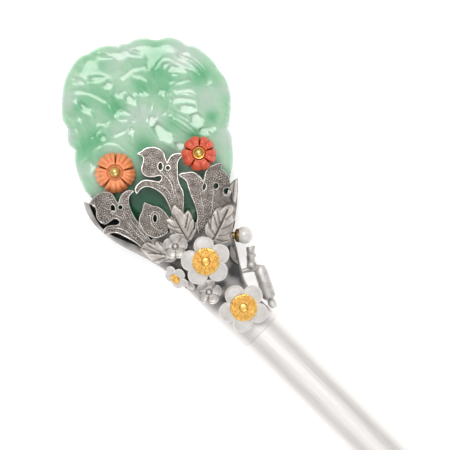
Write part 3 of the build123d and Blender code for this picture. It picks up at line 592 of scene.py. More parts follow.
# Veins: outline name, height (below 0 for a groove), half width, then u and v along it
VEINS = (
    ("inner", 0.26, 0.13, (-8.8, 16.2), (-7.8, 14.0), (-6.7, 12.0), (-5.7, 10.3)),
    ("inner", -0.24, 0.12, (-9.2, 16.0), (-8.1, 13.8), (-7.0, 11.9), (-6.0, 10.4)),
    ("inner", -0.22, 0.13, (-10.7, 14.3), (-9.4, 13.4), (-7.9, 13.2)),
    ("inner", -0.2, 0.12, (-10.1, 15.6), (-9.4, 15.0), (-8.6, 14.9)),
    ("inner", -0.2, 0.12, (-10.2, 13.0), (-8.8, 12.2), (-7.2, 11.9)),
    ("inner", 0.16, 0.14, (-6.3, 16.6), (-6.6, 15.0), (-7.0, 13.4)),
    ("inner", -0.24, 0.13, (-6.0, 16.3), (-6.3, 14.8), (-6.6, 13.2)),
    ("inner", -0.2, 0.12, (-5.0, 15.4), (-5.7, 14.2), (-6.2, 12.6)),
    ("inner", -0.24, 0.13, (-4.5, 13.3), (-5.2, 12.2), (-5.7, 11.0)),
    ("inner", -0.3, 0.16, (-9.9, 16.4), (-9.5, 15.7), (-9.2, 15.3)),
    ("right", 0.3, 0.14, (3.3, 17.4), (2.2, 14.9), (1.0, 12.4), (0.0, 10.3)),
    ("right", -0.34, 0.14, (2.9, 17.4), (1.75, 14.9), (0.55, 12.4), (-0.4, 10.6)),
    ("right", -0.22, 0.13, (0.6, 17.2), (0.9, 15.6), (1.2, 14.2)),
    ("right", -0.2, 0.12, (-0.3, 16.2), (0.2, 14.6), (0.7, 13.2)),
    ("right", -0.24, 0.13, (-1.4, 14.4), (-0.8, 12.9), (0.1, 11.6)),
    ("right", -0.2, 0.12, (4.1, 16.6), (3.0, 15.6), (2.3, 15.1)),
    ("right", -0.22, 0.13, (4.4, 14.6), (3.0, 13.6), (1.5, 13.0)),
    ("right", -0.2, 0.12, (3.6, 12.2), (2.2, 11.6), (0.9, 11.5)),
    ("right", -0.22, 0.13, (3.3, 10.5), (1.8, 10.3), (0.3, 10.6)),
    ("left", 0.24, 0.14, (-15.0, 7.2), (-12.2, 6.9), (-8.9, 6.3)),
    ("left", -0.26, 0.14, (-15.0, 7.6), (-12.0, 7.3), (-9.0, 6.8)),
    ("left", -0.22, 0.13, (-14.4, 5.5), (-12.8, 6.1), (-11.2, 6.5)),
    ("left", -0.22, 0.13, (-15.6, 9.6), (-14.0, 8.6), (-12.2, 7.7)),
    ("left", -0.22, 0.13, (-12.8, 10.0), (-11.6, 9.0), (-10.6, 7.6)),
    ("left", -0.24, 0.13, (-16.4, 8.6), (-15.0, 8.2), (-13.6, 7.6)),
    ("left", -0.2, 0.12, (-12.6, 5.0), (-11.6, 5.7), (-10.2, 6.2)),
    ("rim", 0.16, 0.16, (4.9, 24.2), (4.6, 22.0), (4.5, 19.4)),
    ("rim", -0.24, 0.14, (4.5, 24.0), (4.2, 22.0), (4.1, 19.6)),
    ("root", 0.2, 0.16, (-7.6, 0.8), (-6.4, 0.3), (-5.2, -0.4)),
    ("curl", 0.25, 0.3, (3.6, 9.0), (4.2, 8.0), (4.4, 6.6)),
    ("curl", -0.3, 0.3, (4.0, 9.0), (4.8, 7.6), (5.0, 6.0)),
)
# name, outline, height above the wall, darkness all over
LEAVES = (
    ("inner", INNER_LEAF, 0.55, 0.0), ("right", RIGHT_LEAF, 0.55, 0.0), ("left", LEFT_LEAF, 0.35, 0.0),
    ("rim", RIM_LEAF, 0.3, 0.0), ("root", ROOT_LEAF, 0.5, 0.0), ("curl", CURL_LEAF, 0.3, 0.55),
)
# Width of the strips that a leaf is cut into, and its thickness
LEAF_PITCH, LEAF_THICK = 0.17, 1.0


def away(points, line):
    """Distance of each point of an array from a line of u and v, and on which side of it."""
    best = np.full(len(points), 1e9)
    hand = np.zeros(len(points))
    for start, end in zip(line, line[1:]):
        run = np.array(end) - np.array(start)
        rest = points - np.array(start)
        t = np.clip(rest @ run / max(run @ run, 1e-9), 0, 1)
        gap = rest - t[:, None] * run
        far = np.hypot(gap[:, 0], gap[:, 1])
        nearer = far < best
        hand = np.where(nearer, np.sign(run[0] * rest[:, 1] - run[1] * rest[:, 0]), hand)
        best = np.where(nearer, far, best)
    return best, hand


def drawn_pairs(line):
    return [(p.x, p.y) for p in drawn_line(line, False, 4)]


def bell(distance, width):
    """A smooth hump, 1 in its middle, that falls off over a width."""
    return np.exp(-((distance / width) ** 2))


def leaf_sheet(rows, lift, gloom, veins, side):
    """A leaf from its outline, cut into small faces, laid on the wall and given its veins."""
    edge_line = drawn_line(rows, True, 3)
    bm = bmesh.new()
    face = bm.faces.new([bm.verts.new((p.x, p.y, 0)) for p in edge_line])
    bmesh.ops.triangulate(bm, faces=[face])
    for axis in (0, 1):
        low, high = min(p[axis] for p in edge_line), max(p[axis] for p in edge_line)
        for step in range(1, int((high - low) / LEAF_PITCH)):
            co, normal = [0.0, 0.0, 0.0], [0.0, 0.0, 0.0]
            co[axis], normal[axis] = low + step * LEAF_PITCH, 1.0
            whole = bm.verts[:] + bm.edges[:] + bm.faces[:]
            bmesh.ops.bisect_plane(bm, geom=whole, plane_co=co, plane_no=normal)
    spots = np.array([(vert.co.x, vert.co.y) for vert in bm.verts])
    rim = [(p.x, p.y) for p in edge_line]
    inset, hand = away(spots, rim + rim[:1])
    rise = (lift if side > 0 else 0.0) + 0.3 * (1 - bell(inset, 0.7))
    # painted shadow: a thin dark line along the outline, for the gap round the raised leaf; lighter just
    # inside the edge
    dark, bright = 0.7 * bell(inset, 0.14) + gloom, 0.55 * bell(inset - 0.3, 0.13)
    for height, width, *line in veins:
        far, hand = away(spots, drawn_pairs(line))
        vein = bell(far, width)
        rise = rise + height * vein
        if height < 0:
            dark = np.maximum(dark, min(1.0, -height * 3.4) * vein)
        else:
            bright = np.maximum(bright, min(1.0, height * 3.6) * vein)
    for vert, up in zip(bm.verts, rise):
        height = wall_height(vert.co.x, vert.co.y, side)
        vert.co.z = (MID_Z if height is None else height) + side * up
    paint(bm, "dark", dark)
    paint(bm, "bright", bright * (1 - dark))
    lower = verts_in(bmesh.ops.extrude_face_region(bm, geom=bm.faces[:], use_keep_orig=True)["geom"])
    bmesh.ops.translate(bm, vec=(0, 0, -side * LEAF_THICK), verts=lower)
    layer = bm.verts.layers.float["dark"]
    for vert in lower:
        vert[layer] = 1.0
    return bm


leaf_silver, tree, shader = new_finish("leaf_silver", Metallic=1.0)
node = worn(tree, shader, (0.44, 0.395, 0.36), (0.64, 0.59, 0.55), 420.0, (0.66, 0.54), 0.0002)
# the leaf is lighter where bright is painted, and dark along its outline as painted shadow, in its grooves
# and underneath
body = mix_of(tree, painted(tree, "bright"), node.outputs["Color"], (0.78, 0.73, 0.69))
join(tree, mix_of(tree, painted(tree, "dark"), body, (0.10, 0.082, 0.07)), shader.inputs["Base Color"])

leaves = bmesh.new()
for name, rows, lift, gloom in LEAVES:
    for side in (1, -1):
        sheet = leaf_sheet(rows, lift, gloom, [vein[1:] for vein in VEINS if vein[0] == name], side)
        leaves.from_mesh(mesh_of(sheet, "leaf"))
set_piece(leaves, "cup_leaves", leaf_silver, 50.0)

# Jade plaque: a slab of pale apple green jade with clouds of deeper green, polished all over,
# its lobed edge rounded and both faces carved in low relief. The cup grips its lower third.
JADE_OUTLINE = (
    (-35.2, 40.5), (-35.1, 43.5), (-34.5, 47.0), (-33.0, 50.0), (-31.0, 52.4), (-29.3, 53.1, 1),
    (-27.0, 54.5), (-24.0, 55.1), (-22.2, 54.9, 1), (-21.0, 55.6), (-20.2, 55.4, 1), (-18.8, 56.3),
    (-16.5, 56.8), (-13.4, 56.4), (-10.8, 57.0), (-8.2, 56.4), (-6.3, 55.1, 1), (-4.5, 54.9), (-2.5, 53.5),
    (-0.3, 51.5), (0.8, 49.8), (2.5, 47.5), (3.5, 44.5), (3.7, 41.0), (3.4, 38.0), (3.0, 36.0, 1),
    (3.8, 34.5), (4.1, 32.0), (4.2, 28.0), (3.4, 24.5), (2.2, 19.5), (-3.0, 15.0), (-12.0, 14.2),
    (-21.0, 15.2), (-26.4, 18.4), (-29.8, 21.6, 1), (-30.3, 22.8), (-31.3, 25.0), (-32.2, 28.6),
    (-32.0, 31.0, 1), (-33.3, 32.0), (-33.9, 34.0), (-33.8, 36.0, 1), (-34.9, 37.8),
)
JADE_MIDDLE = (-15.3, 36.0)
JADE_HALF = 4.05
# Carved lines: height, width on the high left side, width of the steep right side, u and v along
CARVED_EDGES = (
    (0.28, 2.6, 0.25, (-1.8, 35.3), (-3.7, 37.4), (-4.1, 40.0), (-4.2, 42.4), (-5.0, 43.3), (-8.8, 43.5)),
    (0.24, 1.8, 0.3, (-8.0, 31.2), (-10.4, 31.6), (-12.4, 33.0), (-14.2, 35.2), (-14.7, 37.2), (-14.3, 39.2)),
    (0.21, 1.6, 0.25, (-4.8, 48.2), (-7.2, 49.2), (-9.6, 50.6), (-11.2, 51.2), (-12.6, 50.2)),
    (0.18, 1.3, 0.25, (-13.7, 46.3), (-14.5, 47.6), (-14.4, 49.2), (-13.6, 50.3)),
    (0.21, 1.5, 0.3, (-17.6, 40.6), (-18.4, 42.6), (-19.8, 43.6), (-21.3, 44.4), (-22.4, 43.0)),
    (0.21, 1.6, 0.3, (-23.7, 44.2), (-23.6, 46.0), (-25.2, 47.5), (-27.6, 47.9), (-28.9, 46.5)),
    (0.18, 1.2, 0.3, (-28.9, 46.0), (-30.2, 47.2), (-31.4, 47.6), (-32.4, 46.4)),
    (0.17, 1.4, 0.3, (-29.4, 34.6), (-30.2, 36.8), (-32.2, 38.5), (-34.6, 38.6)),
    (0.17, 1.4, 0.3, (-27.3, 37.6), (-28.6, 39.6), (-30.2, 41.2), (-31.8, 41.8)),
    (0.15, 1.0, 0.25, (-19.8, 37.4), (-21.6, 37.4), (-22.8, 38.8), (-23.6, 40.4)),
    (0.15, 0.9, 0.25, (-24.4, 34.6), (-24.6, 36.2), (-26.0, 36.5), (-27.2, 35.4), (-27.0, 33.8)),
    (0.15, 1.0, 0.25, (-18.4, 33.0), (-18.6, 34.8), (-19.2, 36.4)),
    (0.14, 1.2, 0.3, (-22.8, 51.2), (-24.2, 52.4), (-26.0, 52.9), (-27.6, 52.3)),
    (0.14, 1.0, 0.3, (-16.4, 51.8), (-17.6, 53.0), (-19.0, 53.4)),
    (0.15, 1.2, 0.3, (-14.6, 42.4), (-16.0, 43.9), (-17.4, 43.7)),
    (0.15, 1.1, 0.3, (-15.0, 45.0), (-16.0, 46.6), (-17.2, 47.2)),
    (0.15, 1.2, 0.3, (-2.2, 33.4), (-0.4, 34.6), (1.0, 36.2), (1.6, 38.6)),
    (0.15, 1.4, 0.3, (-30.6, 31.2), (-31.4, 33.0), (-31.6, 35.0)),
    (0.12, 1.2, 0.3, (-20.6, 30.6), (-23.0, 32.0), (-25.8, 31.6), (-27.6, 30.0)),
)
# Fine carved veins: height (below 0 for a groove), half width, u and v along
CARVED_VEINS = (
    (-0.18, 0.26, (-9.6, 42.4), (-6.6, 42.0), (-3.9, 41.8)),
    (-0.18, 0.26, (-9.8, 41.6), (-7.4, 40.2), (-5.0, 39.0)),
    (-0.16, 0.24, (-9.8, 43.3), (-7.6, 43.0), (-6.0, 42.9)),
    (-0.16, 0.24, (-10.2, 40.4), (-7.2, 38.6), (-4.6, 37.2)),
    (0.16, 0.3, (-10.2, 38.6), (-7.4, 36.8), (-4.2, 34.4)),
    (0.16, 0.3, (-9.6, 37.6), (-7.4, 35.8), (-5.4, 34.6)),
    (0.14, 0.3, (-12.2, 36.2), (-10.6, 34.6), (-8.4, 32.6)),
    (0.16, 0.28, (-9.9, 45.6), (-7.6, 46.0), (-5.4, 47.4)),
    (0.14, 0.26, (-9.6, 47.6), (-7.6, 47.8), (-6.0, 48.2)),
    (-0.14, 0.3, (-10.2, 46.6), (-8.0, 47.0), (-6.0, 47.9)),
    (0.16, 0.24, (-13.7, 49.8), (-13.5, 48.2), (-13.0, 47.0)),
    (0.14, 0.24, (-12.3, 44.9), (-11.8, 43.9), (-11.3, 42.9)),
    (0.11, 0.3, (-10.4, 44.6), (-9.2, 44.0), (-8.6, 42.4)),
    (-0.14, 0.3, (-11.0, 44.8), (-10.8, 42.4), (-11.4, 39.4)),
    (-0.14, 0.4, (-16.2, 45.0), (-15.0, 41.8), (-15.4, 38.0)),
    (-0.14, 0.45, (-23.8, 43.4), (-22.6, 41.0), (-19.6, 39.4)),
    (-0.16, 0.5, (-33.0, 44.6), (-28.8, 44.2), (-25.2, 42.4)),
    (-0.14, 0.4, (-27.8, 34.0), (-24.0, 38.0), (-20.6, 41.0)),
    (-0.14, 0.4, (-21.0, 47.6), (-18.8, 49.4), (-16.0, 50.0)),
    (0.14, 0.3, (-25.6, 33.9), (-25.2, 33.0), (-25.4, 32.4)),
    (-0.14, 0.5, (-8.4, 52.6), (-4.2, 50.4), (-1.6, 46.6)),
    (-0.14, 0.45, (-22.6, 34.4), (-20.4, 35.6), (-18.2, 38.4)),
)
# Swelling forms: u, v, half length, half width, turn, height
CARVED_FORMS = (
    (-6.5, 40.5, 3.6, 2.6, -10, 0.10), (-10.4, 34.4, 4.2, 1.9, -45, 0.14), (-8.0, 47.6, 3.8, 1.7, 10, 0.12),
    (-19.8, 42.2, 2.4, 1.5, -50, 0.18), (-26.3, 46.2, 2.9, 1.5, -15, 0.18), (-31.0, 46.2, 1.7, 1.3, 0, 0.15),
    (-12.6, 48.4, 1.6, 2.2, 0, 0.10), (-29.6, 39.4, 2.8, 1.4, -45, 0.12), (-32.4, 37.2, 1.8, 1.4, -30, 0.10),
    (-25.4, 35.0, 1.6, 1.5, 0, 0.12), (-20.6, 38.6, 2.0, 1.2, 15, 0.10), (-29.2, 26.6, 2.2, 3.0, 10, 0.15),
    (-32.4, 33.4, 1.6, 1.6, 0, 0.14), (1.6, 33.4, 2.0, 2.6, 0, 0.15), (-18.2, 52.4, 2.4, 1.4, -15, 0.10),
    (-25.0, 51.8, 3.0, 1.6, -20, 0.10), (-1.6, 46.0, 3.0, 5.0, 20, 0.09), (-13.0, 41.6, 2.0, 2.4, 0, -0.14),
    (-33.0, 49.2, 2.0, 2.0, 0, 0.09), (-22.0, 49.4, 3.4, 1.6, 0, -0.09), (-16.4, 34.0, 1.8, 3.0, 0, -0.10),
    (-0.6, 40.0, 2.2, 4.2, 0, -0.07), (-9.5, 54.0, 5.0, 2.0, -12, 0.06), (-7.0, 45.0, 3.0, 0.8, 5, -0.12),
    (-22.4, 40.6, 1.8, 1.2, 0, -0.12), (-5.0, 33.6, 3.0, 1.0, -35, -0.10),
)
# Flat facets that all lean one way, as the polished sides of petals do
FACET_WAY, FACET_SLOPE = (-0.27, 0.96), 0.27
# u, v, half length, half width, turn
CARVED_FACETS = (
    (-30.9, 46.5, 1.7, 1.0, -25), (-26.4, 47.0, 2.4, 0.9, -5), (-24.3, 45.6, 1.3, 1.1, -50),
    (-21.0, 43.5, 1.5, 1.1, 40), (-19.2, 42.3, 2.2, 1.0, -45), (-29.3, 40.1, 2.5, 0.8, -48),
    (-9.0, 49.4, 3.2, 0.8, -18), (-10.8, 50.2, 1.5, 0.8, 0), (-7.0, 42.2, 3.2, 1.0, -8),
    (-6.0, 40.3, 2.4, 1.3, -20), (-3.9, 37.4, 2.9, 1.5, -62), (-2.6, 35.4, 1.6, 1.0, -30),
    (-14.2, 37.6, 0.9, 1.6, 12), (-11.7, 34.5, 3.9, 1.5, -48), (-7.9, 32.0, 1.4, 0.8, -15),
    (-7.4, 46.3, 2.4, 0.6, 20), (-17.6, 52.7, 1.9, 0.8, -25), (-24.8, 52.3, 2.0, 0.6, -22),
    (-28.8, 27.0, 1.7, 2.0, 0), (-32.3, 33.2, 1.2, 0.9, 0), (-12.0, 43.8, 0.8, 1.4, 25),
    (-16.2, 43.6, 1.6, 0.5, -20), (-18.9, 35.0, 0.6, 1.5, 10), (-25.4, 33.6, 0.8, 1.0, 0),
    (-32.0, 38.1, 2.4, 0.6, -30),
)


def oval_distance(spots, u, v, half_length, half_width, turn):
    """Squared distance from the middle of a turned oval, 1 at its edge."""
    angle = math.radians(turn)
    du, dv = spots[:, 0] - u, spots[:, 1] - v
    along, across = du * math.cos(angle) + dv * math.sin(angle), dv * math.cos(angle) - du * math.sin(angle)
    return (along / half_length) ** 2 + (across / half_width) ** 2


def carving(spots):
    """Height of the carved relief at an array of u and v."""
    rise, cover, facets = np.zeros(len(spots)), np.zeros(len(spots)), np.zeros(len(spots))
    for height, broad, steep, *line in CARVED_EDGES:
        far, hand = away(spots, drawn_pairs(line))
        rise += height * np.where(hand > 0, bell(far, broad), bell(far, steep))
    for height, width, *line in CARVED_VEINS:
        far, hand = away(spots, drawn_pairs(line))
        rise += height * bell(far, width)
    for *oval, height in CARVED_FORMS:
        rise += height * np.exp(-oval_distance(spots, *oval))
    for u, v, *oval in CARVED_FACETS:
        window = np.exp(-(oval_distance(spots, u, v, *oval) ** 4))
        way = (spots[:, 0] - u) * FACET_WAY[0] + (spots[:, 1] - v) * FACET_WAY[1]
        facets = np.where(window > cover, -FACET_SLOPE * way * window, facets)
        cover = np.maximum(cover, window)
    return rise * (1 - 0.9 * cover) + facets


def spun_sheet(profile, steps):
    """A profile of radius and height, spun once round."""
    bm = bmesh.new()
    verts = [bm.verts.new((radius, 0, height)) for radius, height in profile]
    edges = [bm.edges.new(pair) for pair in zip(verts, verts[1:])]
    bmesh.ops.spin(bm, geom=verts + edges, cent=(0, 0, 0), axis=(0, 0, 1), dvec=(0, 0, 0),
                   angle=math.tau, steps=steps, use_merge=True, use_duplicate=False)
    bmesh.ops.remove_doubles(bm, verts=bm.verts, dist=1e-6)
    return bm


# The slab's faces are flat nearly to the rounded edge, and its rings lie closer together there
SLAB_RINGS = 74
shares = [math.sin(math.pi / 2 * k / SLAB_RINGS) for k in range(SLAB_RINGS + 1)]
profile = [(share, (1 - share**14) ** (1 / 2.4)) for share in shares]
back = [(radius, -height) for radius, height in profile[::-1][1:]]
bm = spun_sheet(profile + back, 320)
outline = drawn_line(JADE_OUTLINE, True, 8)
bearing = np.array([math.atan2(p.y - JADE_MIDDLE[1], p.x - JADE_MIDDLE[0]) for p in outline])
reach = np.array([math.hypot(p.x - JADE_MIDDLE[0], p.y - JADE_MIDDLE[1]) for p in outline])
order = np.argsort(bearing)
place = np.array([vert.co[:] for vert in bm.verts])
radius, angle = np.hypot(place[:, 0], place[:, 1]), np.arctan2(place[:, 1], place[:, 0])
out = np.interp(angle, bearing[order], reach[order], period=math.tau)
spots = np.stack([JADE_MIDDLE[0] + radius * out * np.cos(angle),
                  JADE_MIDDLE[1] + radius * out * np.sin(angle)], 1)
height = place[:, 2] * JADE_HALF
fade = np.clip((1.0 - radius) * out / 1.6, 0, 1) ** 0.8
height = height + np.sign(place[:, 2]) * (carving(spots) - 0.35) * fade
for vert, (u, v), z in zip(bm.verts, spots, height):
    vert.co = (u, v, MID_Z + z)
# u, v, spread, strength: deeper green, then whiter clouds, then shade deep in the cup
GREEN = (
    (-13.2, 53.0, 3.0, 0.8), (-13.0, 49.0, 2.4, 0.6), (-22.8, 40.4, 2.6, 1.0), (-29.0, 31.4, 3.6, 0.8),
    (-3.4, 48.4, 2.6, 1.0), (-0.6, 38.6, 1.6, 0.9), (-16.4, 31.4, 2.4, 1.0), (-4.6, 33.8, 2.6, 0.9),
    (-16.5, 45.5, 2.6, 0.7), (-26.5, 34.0, 2.2, 0.7), (-27.0, 49.6, 3.2, 0.4), (-10.0, 36.8, 2.4, 0.5),
    (-29.0, 42.6, 3.4, 0.5), (-9.4, 47.6, 2.6, 0.6), (-31.6, 40.4, 1.8, 0.6), (-11.8, 44.6, 2.4, 0.5),
)
WHITE = (
    (-7.0, 53.4, 4.2, 0.8), (-34.0, 42.0, 2.4, 0.8), (-17.2, 39.0, 3.0, 0.7), (-2.0, 42.6, 3.0, 0.6),
    (3.0, 34.0, 2.6, 1.0), (-19.0, 55.4, 3.0, 0.6), (-33.4, 34.0, 2.0, 0.9), (-22.6, 52.6, 3.0, 0.5),
    (-13.0, 38.0, 2.2, 0.5), (-30.4, 26.0, 2.4, 0.5), (-21.4, 35.0, 2.4, 0.4), (2.4, 45.0, 1.8, 0.6),
)
SHADE = (
    (-17.5, 17.5, 4.2, 1.0), (-12.0, 20.5, 4.0, 1.0), (-6.6, 20.0, 3.4, 1.1), (-20.8, 19.6, 3.2, 0.8),
    (-28.6, 17.4, 2.0, 0.8), (-13.8, 24.3, 2.6, 0.9), (-19.4, 23.6, 2.2, 0.8), (-8.0, 26.6, 2.2, 0.8),
    (-3.2, 25.0, 1.8, 0.9), (0.0, 17.0, 5.0, 1.0), (-23.0, 14.0, 4.0, 1.0), (3.8, 24.6, 1.6, 0.5),
    (-22.6, 21.8, 2.6, 0.4), (-10.4, 30.2, 2.0, 0.35), (-16.6, 26.6, 2.4, 0.35), (-2.8, 28.4, 2.4, 0.4),
)
for name, table in (("green", GREEN), ("white", WHITE), ("shade", SHADE)):
    paint(bm, name, patches_of(spots, table))


def noise_of(tree, stretch, turn, scale, detail):
    """Noise on stretched and turned object coordinates."""
    place = tree.nodes.new("ShaderNodeTexCoord").outputs["Object"]
    turned = {"Scale": stretch, "Rotation": (0, 0, turn)}
    mapping = linked("grown", "ShaderNodeMapping", tree, turned, {"Vector": place})
    settings = {"Scale": scale, "Detail": detail, "Roughness": 0.6}
    return linked("noise", "ShaderNodeTexNoise", tree, settings, {"Vector": mapping.outputs[0]}).outputs[0]


def between(tree, value, low, high, most=1.0):
    """A value brought from the range low to high into the range 0 to most."""
    return linked("range", "ShaderNodeMapRange", tree, {"From Min": low, "From Max": high, "To Max": most},
                  {"Value": value}).outputs[0]


def sum_of(tree, first, second, share):
    """A value and a share of a second one, added and kept from 0 to 1."""
    node = tree.nodes.new("ShaderNodeMath")
    node.operation = "MULTIPLY_ADD"
    node.use_clamp = True
    join(tree, second, node.inputs[0])
    node.inputs[1].default_value = share
    join(tree, first, node.inputs[2])
    return node.outputs[0]


jade_green, tree, shader = new_finish("jade_green", Roughness=0.15, IOR=1.5, Subsurface_Weight=0.85,
                                      Subsurface_Scale=0.003, Coat_Weight=0.3, Coat_Roughness=0.04)
shader.inputs["Subsurface Radius"].default_value = (0.45, 1.0, 0.62)

drift = noise_of(tree, (1, 1.5, 1), 0.5, 130.0, 5.0)
fibre = noise_of(tree, (1, 2.4, 1), -0.4, 420.0, 4.0)
body = mix_of(tree, between(tree, drift, 0.32, 0.68), (0.43, 0.60, 0.45), (0.27, 0.51, 0.32))
body = mix_of(tree, between(tree, fibre, 0.45, 0.75, 0.35), body, (0.52, 0.66, 0.55))
green = between(tree, sum_of(tree, painted(tree, "green"), drift, 0.25), 0.2, 1.0, 0.85)
body = mix_of(tree, green, body, (0.10, 0.41, 0.19))
white = between(tree, sum_of(tree, painted(tree, "white"), fibre, 0.2), 0.15, 1.0, 0.9)
body = mix_of(tree, white, body, (0.50, 0.565, 0.51))
body = mix_of(tree, painted(tree, "shade"), body, (0.022, 0.13, 0.062))
join(tree, body, shader.inputs["Base Color"])
polish = linked("polish", "ShaderNodeBump", tree, {"Strength": 0.04, "Distance": 0.0001},
                {"Height": noise_of(tree, (1, 1, 1), 0.0, 900.0, 2.0)})
join(tree, polish.outputs[0], shader.inputs["Normal"])
set_piece(bm, "jade_stone", jade_green, 180.0, ("jade_plaque",))

# Coral flowers: each carved from one slice of coral, with five petals parted by deep grooves, finer
# grooves on each petal and a ring round a sunken middle. A gold-headed rivet holds each to the jade.
# name, place of the underside, radius, directions of the deep grooves, then of the fine grooves:
# spaces between them on a petal, share of the radius that they notch the edge, depth
CORALS = (
    ("orange", (-22.6, 25.8, 5.55), 4.65, (88, 14, -45, -128, 160), 4, 0.035, 0.3),
    ("red", (-3.6, 30.1, 7.75), 3.95, (86, 19, -40, -122, 160), 2, 0.05, 0.22),
)
# Share of the radius inside the ring, height of the sunken middle, and of the petals' thin edge
CORAL_WELL, CORAL_LOW, CORAL_EDGE = 0.44, 1.35, 0.12


def turn_gap(angle, target):
    """Smallest turn from each angle of an array to a direction in degrees."""
    return np.abs((np.degrees(angle) - target + 180) % 360 - 180)


def petal_share(angle, grooves):
    """Place across the petal that each direction falls in, from -1 to 1, and the petal's width."""
    order = sorted(grooves)
    share, width = np.zeros(len(angle)), np.zeros(len(angle))
    for start, end in zip(order, order[1:] + [order[0] + 360]):
        rest = (np.degrees(angle) - start) % 360
        inside = rest < (end - start)
        share = np.where(inside, 2 * rest / (end - start) - 1, share)
        width = np.where(inside, end - start, width)
    return share, width


def coral_finish(name, pale, deep, groove_shade):
    finish, tree, shader = new_finish(name, IOR=1.55, Subsurface_Weight=0.25,
                                      Subsurface_Scale=0.001, Coat_Weight=0.25, Coat_Roughness=0.2)
    shader.inputs["Subsurface Radius"].default_value = (1.0, 0.35, 0.2)
    # the grooves are darkened with a painted shade colour
    worn(tree, shader, deep, pale, 700.0, (0.4, 0.32), 0.00008, shade=painted(tree, "groove_shade"), dark=groove_shade)
    return finish


# the third colour of each coral is its painted shade in the grooves
coral_finishes = {
    "orange": coral_finish("orange_coral", (0.84, 0.31, 0.12), (0.78, 0.245, 0.085), (0.34, 0.06, 0.02)),
    "red": coral_finish("red_coral", (0.70, 0.105, 0.038), (0.60, 0.07, 0.026), (0.22, 0.016, 0.007)),
}
for name, seat, size, grooves, spaces, notch, depth in CORALS:
    rings = [(k / 44, 1.0) for k in range(45)] + [(1.0, 0.5), (0.97, 0.1), (0.9, 0.0), (0.6, 0.0), (0.0, 0.0)]
    bm = spun_sheet(rings, 240)
    place = np.array([vert.co[:] for vert in bm.verts])
    share_out, angle = np.hypot(place[:, 0], place[:, 1]), np.arctan2(place[:, 1], place[:, 0])
    across, width = petal_share(angle, grooves)
    deep = bell((1 - np.abs(across)) * width / 2, 2.6)
    ripple = np.abs(np.sin((across + 1) / 2 * math.pi * spaces)) ** 0.5
    reach = size * (1 - 0.07 * deep - notch * (1 - ripple)) * (0.93 + 0.07 * (1 - across**4))
    outer = np.clip((share_out - CORAL_WELL) / (1 - CORAL_WELL), 0, 1)
    swell = 1.25 + 0.75 * np.sin(math.pi * np.clip(outer * 1.05, 0, 1) ** 0.8) - 0.62 * outer**3
    dome = np.where(share_out < CORAL_WELL, CORAL_LOW, swell)
    ring = 0.42 * bell(share_out - CORAL_WELL, 0.045)
    fine = (1 - ripple) * np.clip(outer * 3, 0, 1) * depth
    cut = deep * np.clip(outer * 5, 0, 1)
    top = dome + ring - fine - 0.95 * cut
    for vert, out, turn, part, high in zip(bm.verts, reach * share_out, angle, place[:, 2], top):
        vert.co = (out * math.cos(turn), out * math.sin(turn), CORAL_EDGE + (high - CORAL_EDGE) * part)
    # painted shade, darkest in the deep grooves, also in the fine grooves and round the foot of the sunken
    # middle
    dark = np.clip(cut * 0.95 + fine * 1.5 + 0.45 * bell(share_out - CORAL_WELL + 0.09, 0.05), 0, 1)
    paint(bm, "groove_shade", dark * place[:, 2])
    bmesh.ops.translate(bm, vec=seat, verts=bm.verts)
    set_piece(bm, "coral_petals_" + name, coral_finishes[name], 70.0,
              ("coral_flower_" + name,))

gold_polish, tree, shader = new_finish("gold_polish", Metallic=1.0)
worn(tree, shader, (0.60, 0.39, 0.12), (0.84, 0.63, 0.25), 1500.0, (0.4, 0.27), 0.00008)
# Shank of both rivets, and the profiles of their heads: radius and height above the coral's underside
RIVET_SHANK = ((0.0, -1.2), (0.45, -1.2), (0.45, 1.1))
RIVET_HEADS = {
    "orange": ((1.2, 1.25), (1.32, 1.6), (1.22, 2.05), (0.98, 2.5), (0.6, 2.8), (0.25, 2.92), (0.0, 2.94)),
    "red": ((1.25, 1.2), (1.36, 1.5), (1.37, 1.95), (1.28, 2.12), (1.16, 2.1), (1.08, 1.9), (0.98, 1.72),
            (0.86, 1.95), (0.62, 2.24), (0.3, 2.4), (0.0, 2.44)),
}
for name, seat, *petals in CORALS:
    bm = spun_sheet(RIVET_SHANK + RIVET_HEADS[name], 40)
    bmesh.ops.translate(bm, vec=seat, verts=bm.verts)
    set_piece(bm, "rivet_head_" + name, gold_polish, 50.0, ("gold_centre_" + name,))

# Plum blossoms: five domed petals of pale shell or satin metal with a soft pearly shine, pressed
# close under a gilt stamen disc. A post soldered below carries each blossom on the neck.
PETAL_SPREAD = 3.5
PETAL_R = 2.2
# name, place of the underside, turn and tilt, size, breadth of the disc, boss below, petals' directions
BLOSSOMS = (
    ("upper", (-2.0, 5.7, 8.9), (0, 0), 1.0, 1.0, 1.9, (98, 28, -40, -121, 177)),
    ("lower", (6.5, -4.8, 5.85), (0, 0), 1.0, 1.0, 0.6, (125, 54, -21, -92, 197)),
    ("side", (-8.5, 2.2, 5.2), (-45, 50), 0.56, 0.72, 0.65, (90, 18, -54, -126, 162)),
)
# Radius and height of the gilt disc, from its underside to the domed eye
DISC = (
    (0.0, 1.3), (2.6, 1.3), (3.0, 1.45), (3.1, 1.75), (2.95, 2.0), (2.2, 2.12), (1.4, 2.1), (1.06, 2.0),
    (1.0, 2.1), (0.86, 2.22), (0.62, 2.31), (0.3, 2.36), (0.0, 2.37),
)
# Height of its face, radius where the stamens start, number of stamens and of pollen grains
DISC_FACE, DISC_EYE, STAMENS, POLLEN = 2.12, 1.05, 46, 120


def turn_by(degrees, axis):
    return Matrix.Rotation(math.radians(degrees), 4, axis)


